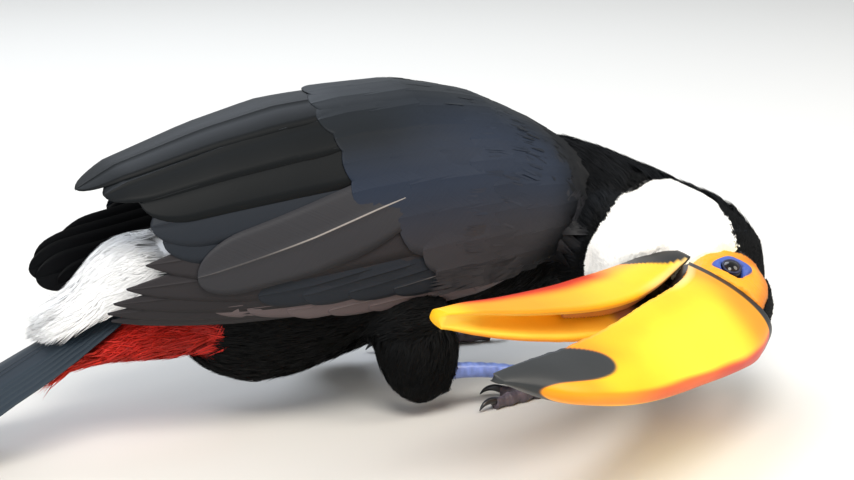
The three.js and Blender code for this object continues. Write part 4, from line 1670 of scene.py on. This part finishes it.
@dataclass
class Bill:
    """The horn of the two mandibles, as in their solids, with its colours."""

    length: float = 194.0
    face_slant: float = math.tan(math.radians(11))
    # Heights, half widths and shapes of the sections, at even steps along the bill.
    culmen: Row = (48, 49.5, 48.3, 45.5, 42, 38.5, 34.5, 29, 21, 9.5, -12)
    tomium: Row = (1.5, 5.5, 6.5, 5.5, 4.2, 3, 1.6, -1, -5, -10.5, -17)
    half_width: Row = (20.5, 20.3, 19.6, 18.6, 17.3, 15.8, 14, 11.8, 9.2, 6.4, 1.6)
    draw_in: Row = (0.12, 0.34, 0.46, 0.46, 0.44, 0.4, 0.35, 0.3, 0.25, 0.22, 0.22)
    roundness: Row = (0.6, 0.75, 0.88, 0.92, 0.92, 0.88, 0.85, 0.8, 0.8, 0.8, 0.8)
    lower_rim: Row = (-1, 2.5, 6.5, 9.5, 11, 11, 9.5, 6.5, 2.5, -3, -8)
    lower_half_width: Row = (18, 14.8, 12.6, 10.8, 9.6, 8.8, 8.2, 7.5, 6.6, 5.4, 3.4)
    lower_depth: Row = (19, 22.5, 25.5, 27.5, 28, 26.5, 24, 20.5, 16.5, 12, 7)
    lower_reach: float = 0.885
    lower_setback: float = 18.0  # how far behind the upper mandible's root the lower one starts
    jaw_open: float = math.radians(12.5)
    hinge: Spot = (-22.0, 2.0)
    # The black oval at the tip: its middle, half length and half height, and how it lies.
    spot_centre: Spot = (167.5, -2.4)
    spot_radii: Spot = (31.5, 9.8)
    spot_turn: float = math.radians(-30)
    # The black band on the lower mandible widens towards the chin: up and its front's forward.
    chin_band: Table = (
        (-26, 15), (-22, 14.2), (-18.5, 11.4), (-14, 5.3), (-8, -0.5), (-4.4, -8.6), (-4, -14)
    )
    # The tongue's stations: forward, up, half width and half height.
    tongue_line: Table = ((2, -6, 5, 1.6), (32, 0, 4.4, 1.3), (62, 2, 3.6, 1.1), (92, 0.5, 2.2, 0.9))
    # Partly painted shade: the darker amber at the upper mandible's root, by the black band, is partly
    # the horn's own colour and partly shade.
    amber: str = "d98f08"
    yellow: str = "fcbd14"
    lemon: str = "fddc2a"
    orange: str = "f6930f"
    ember: str = "e05a04"
    deep: str = "c42c04"
    pale: str = "f6e7b4"
    base_black: str = "1b1b1a"
    spot_black: str = "2c2e2f"
    inside: str = "ffcb45"
    mouth_pink: str = "a06a62"
    tongue_pink: str = "b98289"

    def opened(self, q: Array) -> Array:
        """Turns places of the shut lower jaw open about its hinge."""
        f, u = q[..., 0] - self.hinge[0], q[..., 2] - self.hinge[1]
        c, s = math.cos(self.jaw_open), math.sin(self.jaw_open)
        turned = q.copy()
        turned[..., 0] = self.hinge[0] + f * c + u * s
        turned[..., 2] = self.hinge[1] - f * s + u * c
        return turned

    @staticmethod
    def arc(steps: int) -> Array:
        """Angles over the outside of a section, from one cutting edge to the other."""
        return np.pi * np.arange(steps + 1) / steps

    @staticmethod
    def rough_edge(t: Array, a: Array, seed: int) -> Array:
        """The fine unevenness of a cutting edge, which fades a little above it.

        Args:
            t: Places along the bill.
            a: Angles over the outside.
            seed: Seeds its chance.

        Returns:
            A height for each place of the grid, about 1 at most.
        """
        chance = np.random.default_rng(seed).normal(0, 1, len(t))
        rough = np.convolve(chance, [0.1, 0.24, 0.32, 0.24, 0.1], "same")
        return rough[:, None] * np.clip(1 - np.sin(a) * 6, 0, 1)

    @staticmethod
    def fields(t: Array, a: Array, q: Array, scale_mm: float, seed: int) -> tuple[Array, Array, Array]:
        """What the colours follow: place along the bill, height on the outside, and a ripple."""
        height = np.zeros(q.shape[:2])
        height[:, : len(a)] = np.sin(a)[None]
        return np.broadcast_to(t[:, None], height.shape), height, wobble(q, scale_mm, seed)

    def upper(self) -> Piece:
        """Makes the upper mandible."""
        t = np.concatenate([np.linspace(0, 0.9, 220), np.linspace(0.9, 1, 45)[1:]])
        tables = (self.half_width, self.tomium, self.culmen, self.draw_in, self.roundness)
        w, low, high, draw, roundness = (smooth_curve(table, t)[:, None] for table in tables)
        a = self.arc(88)
        side = -w * np.sign(np.cos(a)) * np.abs(np.cos(a)) ** roundness * (1 - draw * np.sin(a) ** 2)
        up = low + (high - low) * np.sin(a) ** 0.9
        even = soft(t, 0.12, 0.3) * soft(t, 0.93, 0.85)
        up += 0.3 * self.rough_edge(t, a, 8) * even[:, None]
        b = self.arc(16)[-2:0:-1]
        ring_side = np.concatenate([side, -0.86 * w * np.cos(b)], 1)
        ring_up = np.concatenate([up, low + 0.12 * (high - low) * np.sin(b)], 1)
        forward = t[:, None] * self.length - ring_up * self.face_slant * (1 - t[:, None]) ** 3
        q = np.stack([forward, ring_side, ring_up], -1)
        return self.skinned("bill_upper_horn", q, self.upper_paint(t, a, q), HORN, "bill_upper")

    def upper_paint(self, t: Array, a: Array, q: Array) -> Array:
        """The upper mandible's colours on its grid.

        Args:
            t: Places along the bill.
            a: Angles over the outside, from the right edge to the left.
            q: The grid in the head's frame.

        Returns:
            A linear colour for each place.
        """
        tt, height, ripple = self.fields(t, a, q, 26, 21)
        spot = soft(self.spot(q) + 0.03 * ripple, 1.04, 0.95)
        ridge = height + 0.01 * ripple
        # A black band edges the horn against the face.
        back = q[..., 0] + q[..., 2] * self.face_slant
        paint = layered(
            # The amber at the root is partly painted shade.
            self.amber,
            (self.yellow, soft(tt + 0.02 * ripple, 0.04, 0.19)),
            (self.lemon, soft(height, 0.12, 0.5) * soft(tt, 0.72, 0.5) * soft(tt, 0.1, 0.26)),
            (self.orange, soft(tt + 0.03 * ripple, 0.48, 0.78) * soft(height, 0.75, 0.2)),
            (self.orange, soft(tt + 0.02 * ripple, 0.74, 0.86) * 0.8),
            (self.orange, soft(height + 0.012 * ripple, 0.925, 0.972)),
            (self.ember, soft(ridge, 0.955, 0.985) * soft(tt, 0.8, 0.6)),
            (self.deep, soft(ridge, 0.962, 0.993) * soft(tt, 0.45, 0.25)),
            (self.spot_black, spot),
            (self.pale, soft(height, 0.07, 0.02) * soft(tt, 0.28, 0.16) * 0.4),
            (self.base_black, soft(back, 6.4, 5.6)),
        )
        paint[:, len(a) :] = linear(self.inside)
        tip = soft(self.spot(q), 1.04, 0.95) * (tt > 0.8)
        return blend(paint, linear(self.spot_black), tip)

    def spot(self, q: Array) -> Array:
        """1 on the edge of the black oval at the tip, less inside it."""
        c, s = math.cos(self.spot_turn), math.sin(self.spot_turn)
        f, u = q[..., 0] - self.spot_centre[0], q[..., 2] - self.spot_centre[1]
        lengthwise, crosswise = f * c + u * s, -f * s + u * c
        # It is drawn out towards the tip.
        lengthwise = lengthwise * np.where(lengthwise > 0, 0.4, 1)
        return np.hypot(lengthwise / self.spot_radii[0], crosswise / self.spot_radii[1])

    def lower(self) -> Piece:
        """Makes the lower mandible."""
        t = np.linspace(0, 1, 110)
        tables = (self.lower_half_width, self.lower_rim, self.lower_depth)
        w, high, depth = (smooth_curve(table, t)[:, None] for table in tables)
        a = self.arc(48)
        side = w * np.sign(np.cos(a)) * np.abs(np.cos(a)) ** 0.55
        up = high - depth * np.sin(a) ** 0.85
        up += 0.2 * self.rough_edge(t, a, 9) * soft(t, 0.15, 0.3)[:, None]
        b = self.arc(20)[::-1]
        ring_side = np.concatenate([side, (w - np.minimum(3, 0.34 * w)) * np.cos(b)], 1)
        trough = 0.55 * depth * soft(t, 1.02, 0.8)[:, None]
        ring_up = np.concatenate([up, high - 0.3 - trough * np.sin(b)], 1)
        run = (t * self.lower_reach * self.length - self.lower_setback * (1 - t))[:, None]
        run = np.broadcast_to(run, ring_side.shape)
        q = self.opened(np.stack([run, ring_side, ring_up], -1))
        paint = self.lower_paint(t, a, q)
        inner = run[:, len(a) :]
        # The lining darkens towards the gape: painted shade of the throat.
        lining = ((self.mouth_pink, soft(inner, 50, 34)), (MARKS.pigments.mouth_shade_and_band, soft(inner, 22, 6)))
        paint[:, len(a) :] = layered(self.inside, *lining)
        return self.skinned("bill_lower_horn", q, paint, HORN, "bill_lower")

    def lower_paint(self, t: Array, a: Array, q: Array) -> Array:
        """The lower mandible's colours on its grid.

        Args:
            t: Places along the bill.
            a: Angles over the outside, from the left edge to the right.
            q: The grid in the head's frame, with the jaw open.

        Returns:
            A linear colour for each place.
        """
        tt, height, ripple = self.fields(t, a, q, 24, 22)
        belly = soft(height + 0.03 * ripple, 0.4, 0.8) * soft(tt, 0.24, 0.4) * soft(tt, 0.98, 0.86)
        band = q[..., 0] - table_value(self.chin_band, q[..., 2])
        return layered(
            self.orange,
            (self.yellow, soft(height, 0.85, 0.45) * soft(tt, 0.8, 0.3)),
            (self.deep, belly),
            (self.yellow, soft(tt, 0.9, 0.98) * 0.8),
            (self.pale, soft(height, 0.09, 0.03) * soft(tt, 0.36, 0.2) * 0.5),
            (self.base_black, soft(band, 0.4, -0.5) * soft(q[..., 0], 19, 16)),
        )

    def skinned(
        self, name: str, q: Array, paint: Array, finish: Finish, node: str, slot: str = "bill_horn"
    ) -> Piece:
        """Skins a grid of rings and dresses it.

        Args:
            name: The piece's name.
            q: Rings in the head's frame.
            paint: A colour for each place.
            finish: The finish.
            node: The CAD node it stands for.
            slot: A material slot name, passed on to dress.

        Returns:
            The piece.
        """
        return dress(tubes(name, [BIRD.from_head(q)], [paint]), finish, slot, node)

    def tongue(self) -> Piece:
        """Makes the long flat tongue, with its bristled edge."""
        rings, columns = 70, 24
        t = np.linspace(0, 1, rings)
        f, u, w, h = (smooth_curve(row, t)[:, None] for row in np.array(self.tongue_line).T)
        a = 2 * np.pi * np.arange(columns) / columns
        comb = 0.1 * np.where(np.arange(rings) % 2, 1, -1)[:, None] * (np.abs(np.cos(a)) > 0.85)
        comb = 1 + comb * soft(t, 0.3, 0.5)[:, None]
        taper = np.sqrt(np.clip(1 - ((t - 0.93).clip(0) / 0.07) ** 2, 0.02, 1))[:, None]
        flat = 1 - 0.3 * np.clip(np.sin(a), 0, 1)
        side, up = w * taper * np.cos(a) * comb, u + h * np.sin(a) * flat
        q = self.opened(np.stack([np.broadcast_to(f, side.shape), side, up], -1))
        paint = np.broadcast_to(linear(self.tongue_pink), q.shape)
        return self.skinned("tongue_flesh", q, paint, TONGUE, "tongue", "tongue")

    def build(self) -> None:
        """Makes the bill's pieces."""
        self.upper()
        self.lower()
        self.tongue()


@dataclass
class EyePair:
    """The two eyes with their lids; they look out and a little towards the bill."""

    turned: float = math.radians(26)
    opening: float = 4.1
    lid: float = 0.6  # the rim's half thickness
    seat: Place = (-2.0, -0.2, -0.5)  # how an eye sits in its solid
    fullness: float = 0.92
    pupil_edge: float = 27.5  # degrees off the middle
    iris_edge: float = 47.0
    iris: str = "1c0e08"
    pupil: str = "030303"
    sclera: str = "0c0a0a"
    lid_blue: str = "151b3c"

    def axes(self, side: int) -> Array:
        """Rows in the head's frame: across the eye, up it, and the way it looks."""
        c, s = math.cos(self.turned), math.sin(self.turned)
        return np.array([[c, -side * s, 0], [0, 0, 1], [s, side * c, 0]])

    def build(self) -> None:
        """Makes eyes and lids on both sides."""
        for side, word in SIDES.items():
            solid = Eye.of(f"eye_{word}")
            middle = solid.centre + np.array(self.seat) * (1, side, 1)
            eye = replace(solid, centre=middle, radius=solid.radius * self.fullness)
            self.ball(word, side, eye)
            self.lids(word, side, eye)

    def ball(self, word: str, side: int, eye: Eye) -> None:
        """Makes one eyeball.

        Args:
            word: The side's name.
            side: -1 on the right, 1 on the left.
            eye: Where it sits.
        """
        centre = BIRD.from_head(eye.centre[None])[0]
        outward = self.axes(side)[2] @ BIRD.head_axes
        clear_selection()
        bpy.ops.mesh.primitive_uv_sphere_add(segments=64, ring_count=40, radius=eye.radius / 1000)
        ball = bpy.context.object
        ball.name = f"eyeball_{word}"
        turn = Vector((0, 0, 1)).rotation_difference(Vector(outward)).to_matrix().to_4x4()
        ball.data.transform(Matrix.Translation(Vector(BIRD.to_row(centre[None])[0])) @ turn)
        p = BIRD.from_row(vertex_places(ball.data)) - centre
        off = np.degrees(np.arccos(np.clip(unit(p) @ outward, -1, 1)))
        # Fine rays run out from the pupil.
        rays = np.sin(np.arctan2(p @ BIRD.head_axes[2], p @ BIRD.head_axes[0]) * 23)
        iris = linear(self.iris) * (1 + 0.25 * rays)[:, None]
        pupil = soft(off, self.pupil_edge + 1.5, self.pupil_edge - 1.5)
        paint = blend(iris, linear(self.pupil), pupil)
        rim = soft(off, self.iris_edge - 3, self.iris_edge + 3)
        add_tint(ball.data, blend(paint, linear(self.sclera), rim))
        smooth_faces(ball.data)
        dress(ball, EYE_FILM, "eye", f"eye_{word}")

    def lids(self, word: str, side: int, eye: Eye) -> None:
        """Makes the thin rim of lid round one eye.

        Args:
            word: The side's name.
            side: -1 on the right, 1 on the left.
            eye: Where the eye sits.
        """
        clear_selection()
        radii = {"major_radius": self.opening / 1000, "minor_radius": self.lid / 1000}
        bpy.ops.mesh.primitive_torus_add(major_segments=96, minor_segments=12, **radii)
        rim = bpy.context.object
        rim.name = f"eyelid_{word}"
        q = vertex_places(rim.data) * 1000
        turn = np.arctan2(q[:, 1], q[:, 0])
        r = np.linalg.norm(q[:, :2], axis=1)
        r = self.opening + (r - self.opening) * (1 + 0.12 * np.sin(turn * 9))
        height = q[:, 2] + math.sqrt(eye.radius**2 - self.opening**2)
        local = np.stack([r * np.cos(turn), r * np.sin(turn), height], -1)
        places = BIRD.from_head(eye.centre + local @ self.axes(side))
        move_vertices(rim.data, BIRD.to_row(places))
        turn_outwards(rim)
        add_tint(rim.data, np.tile(linear(self.lid_blue), (len(local), 1)))
        smooth_faces(rim.data)
        dress(rim, FACE_SKIN, "facial_skin")


# ---------------- legs


@dataclass
class Leg:
    """One bare tarsus and its foot, two toes forward and two back."""

    side: int
    foot_x: float = 29.0
    foot_side: float = 49.0
    ankle: float = 9.0
    toe_radius: float = 3.5
    # Headings, in degrees from straight ahead outwards, and lengths.
    toes: Table = ((-14, 31.0), (16, 39.0), (170, 26.0), (214, 17.0))
    # The claw beyond its toe: forward, height and radius.
    claw_line: Table = ((-2, 3.6, 2.0), (3, 4.7, 1.6), (7, 3.6, 1.0), (9.5, 1.2, 0.25))
    tarsus_blue: str = "6f84c4"
    toe_grey: str = "544b52"
    claw_black: str = "131214"

    @property
    def tarsus_line(self) -> Table:
        """Places and radii from inside the thigh down to the foot, on the left side."""
        foot = (self.foot_x, self.foot_side, self.ankle, 4.4)
        sole = (self.foot_x + 2, self.foot_side, 5.0, 4.6)
        shank = ((-24, 44, 19, 4.4), (-10, 45.5, 19, 3.7), (6, 47, 17, 3.4), (20, 48.3, 13.5, 3.8))
        return (*shank, foot, sole)

    def tube(
        self, points: Sequence[Sequence[float]], steps: int, sides: int, ridge: float, rings: float
    ) -> Array:
        """Rings round a smooth line.

        Args:
            points: Places and radii, in the bird's frame.
            steps: Rings along it.
            sides: Places in a ring.
            ridge: How proud its cross scales stand, in millimetres.
            rings: How many cross scales there are.

        Returns:
            A grid of places, none of them under the floor.
        """
        t = np.linspace(0, 1, steps)
        line = np.stack([smooth_curve(row, t) for row in np.array(points, float).T], 1)
        centre, radius = line[:, :3], line[:, 3]
        ahead = unit(np.gradient(centre, axis=0))
        across = unit(np.cross(ahead, np.array([0, 0, 1.0])))
        above = np.cross(across, ahead)
        a = 2 * np.pi * np.arange(sides) / sides
        front = np.clip(np.sin(a), 0, 1)
        r = radius[:, None] + ridge * np.abs(np.sin(np.pi * rings * t))[:, None] * front[None]
        sideways = across[:, None] * (r * np.cos(a))[..., None]
        grid = centre[:, None] + sideways + above[:, None] * (r * np.sin(a))[..., None]
        grid[..., 2] = np.maximum(grid[..., 2], 0.0)
        return grid

    def joined(
        self, part: str, grids: Sequence[Array], colour: str, finish: Finish, slot: str, *nodes: str
    ) -> Piece:
        """Joins tubes into one blotched piece and dresses it.

        Args:
            part: The piece's name without its side.
            grids: The tubes.
            colour: Their colour.
            finish: Their finish.
            slot: A material slot name, passed on to dress.
            nodes: The CAD nodes that it stands for.

        Returns:
            The piece.
        """
        paints = [linear(colour) * (1 + 0.25 * wobble(grid, 4.0, 2))[..., None] for grid in grids]
        piece = tubes(f"{part}_{SIDES[self.side]}", grids, [np.clip(p, 0, 1) for p in paints])
        return dress(piece, finish, slot, *nodes)

    def toe(self, heading: float, length: float) -> tuple[Array, Array]:
        """One toe, swollen at its joints, and its claw.

        Args:
            heading: Degrees from straight ahead, outwards.
            length: Its length without the claw.

        Returns:
            The tubes of the toe and of the claw.
        """
        angle = math.radians(heading)
        start = np.array([self.foot_x + 2, self.side * (self.foot_side + 0.3)])
        ahead = np.array([math.cos(angle), self.side * math.sin(angle)])
        steps = 9 if length > 25 else 6
        points = []
        for k in range(steps + 1):
            share = k / steps
            pad = 0.45 if k % 3 == 0 else -0.2
            height = 3.4 - 0.6 * share + (0.9 if k == 1 else 0)
            points.append((*(start + ahead * length * share), height, self.toe_radius - share + pad))
        claw = [(*(start + ahead * (length + run)), z, r) for run, z, r in self.claw_line]
        return self.tube(points, 60, 20, 0.28, length / 2.3), self.tube(claw, 24, 14, 0.0, 0)

    def build(self) -> None:
        """Makes the tarsus, the toes and the claws."""
        word = SIDES[self.side]
        line = [(x, self.side * y, z, r) for x, y, z, r in self.tarsus_line]
        shank = self.tube(line, 90, 28, 0.35, 13)
        self.joined("tarsus_skin", [shank], self.tarsus_blue, SCUTES, "leg_skin", f"tarsus_{word}")
        toes, claws = zip(*(self.toe(heading, length) for heading, length in self.toes))
        self.joined("toes", toes, self.toe_grey, TOE_SCALES, "foot_scales", f"foot_{word}")
        self.joined("claws", claws, self.claw_black, CLAW, "foot_scales")


# ---------------- studio


@dataclass
class Studio:
    """A pale floor, soft light and the camera."""

    camera_bird: Place = (-475.0, -822.7, 307.0)
    heading: float = math.radians(30)
    pitch: float = math.radians(14)
    focal_share: float = 2050 / 854
    sensor_mm: float = 36.0
    floor_grey: str = "dcdad5"
    sky: str = "eef2f6"
    sky_strength: float = 0.66
    # Place in metres, size in metres, watts and colour of each soft light.
    lamps: Table = (
        ((-0.5, -0.9, 1.5), 0.9, 24.0, "fffaf2"),
        ((0.9, -0.7, 1.0), 0.8, 10.0, "fff6ea"),
        ((0.2, 1.1, 1.3), 1.2, 15.0, "e8f1ff"),
        ((-1.3, -0.5, 0.7), 0.8, 6.0, "f4f7ff"),
    )

    def floor(self) -> None:
        """Lays the floor."""
        clear_selection()
        bpy.ops.mesh.primitive_plane_add(size=8.0, location=(0, 0, 0))
        plane = bpy.context.object
        plane.name = "floor"
        # Matt paper, pale enough to bounce light under the bird.
        material = bpy.data.materials.new("pale_paper_floor")
        material.use_nodes = True
        shader = material.node_tree.nodes["Principled BSDF"]
        shader.inputs["Base Color"].default_value = (*linear(self.floor_grey), 1)
        shader.inputs["Roughness"].default_value = 0.85
        plane.data.materials.append(material)

    def lamp(self, place: Sequence[float], size: float, watts: float, tint: str) -> None:
        """Hangs one soft light over the bird."""
        data = bpy.data.lights.new("softbox", "AREA")
        data.shape = "DISK"
        data.size = size
        data.energy = watts
        data.color = tuple(linear(tint))
        lamp = bpy.data.objects.new("softbox", data)
        lamp.location = place
        aim = Vector((0, 0, 0.06)) - Vector(place)
        lamp.rotation_euler = aim.to_track_quat("-Z", "Y").to_euler()
        bpy.context.scene.collection.objects.link(lamp)

    def camera(self) -> None:
        """Sets up the camera."""
        data = bpy.data.cameras.new("camera")
        data.sensor_width = self.sensor_mm
        data.lens = self.sensor_mm * self.focal_share
        data.clip_start = 0.05
        camera = bpy.data.objects.new("camera", data)
        camera.location = BIRD.to_row(np.array(self.camera_bird))
        camera.rotation_euler = (math.pi / 2 - self.pitch, 0, -self.heading)
        bpy.context.scene.collection.objects.link(camera)
        bpy.context.scene.camera = camera

    def build(self) -> None:
        """Sets up the studio."""
        self.floor()
        world = bpy.data.worlds.new("studio")
        world.use_nodes = True
        back = world.node_tree.nodes["Background"]
        back.inputs["Color"].default_value = (*linear(self.sky), 1)
        back.inputs["Strength"].default_value = self.sky_strength
        bpy.context.scene.world = world
        for lamp in self.lamps:
            self.lamp(*lamp)
        self.camera()
        bpy.context.scene.view_settings.view_transform = "Standard"


def main() -> None:
    """Builds the bird and the studio."""
    Studio().build()
    coat = Coat(Skin().build())
    for seed, kind in enumerate(COATS, 100):
        coat.grow(kind, seed)
    for side in SIDES:
        coat.grow(WING_COATS[side], 120 + side, side)
        Wing(side).build()
        Leg(side).build()
    Tail().build()
    Bill().build()
    EyePair().build()


if __name__ == "__main__":
    main()
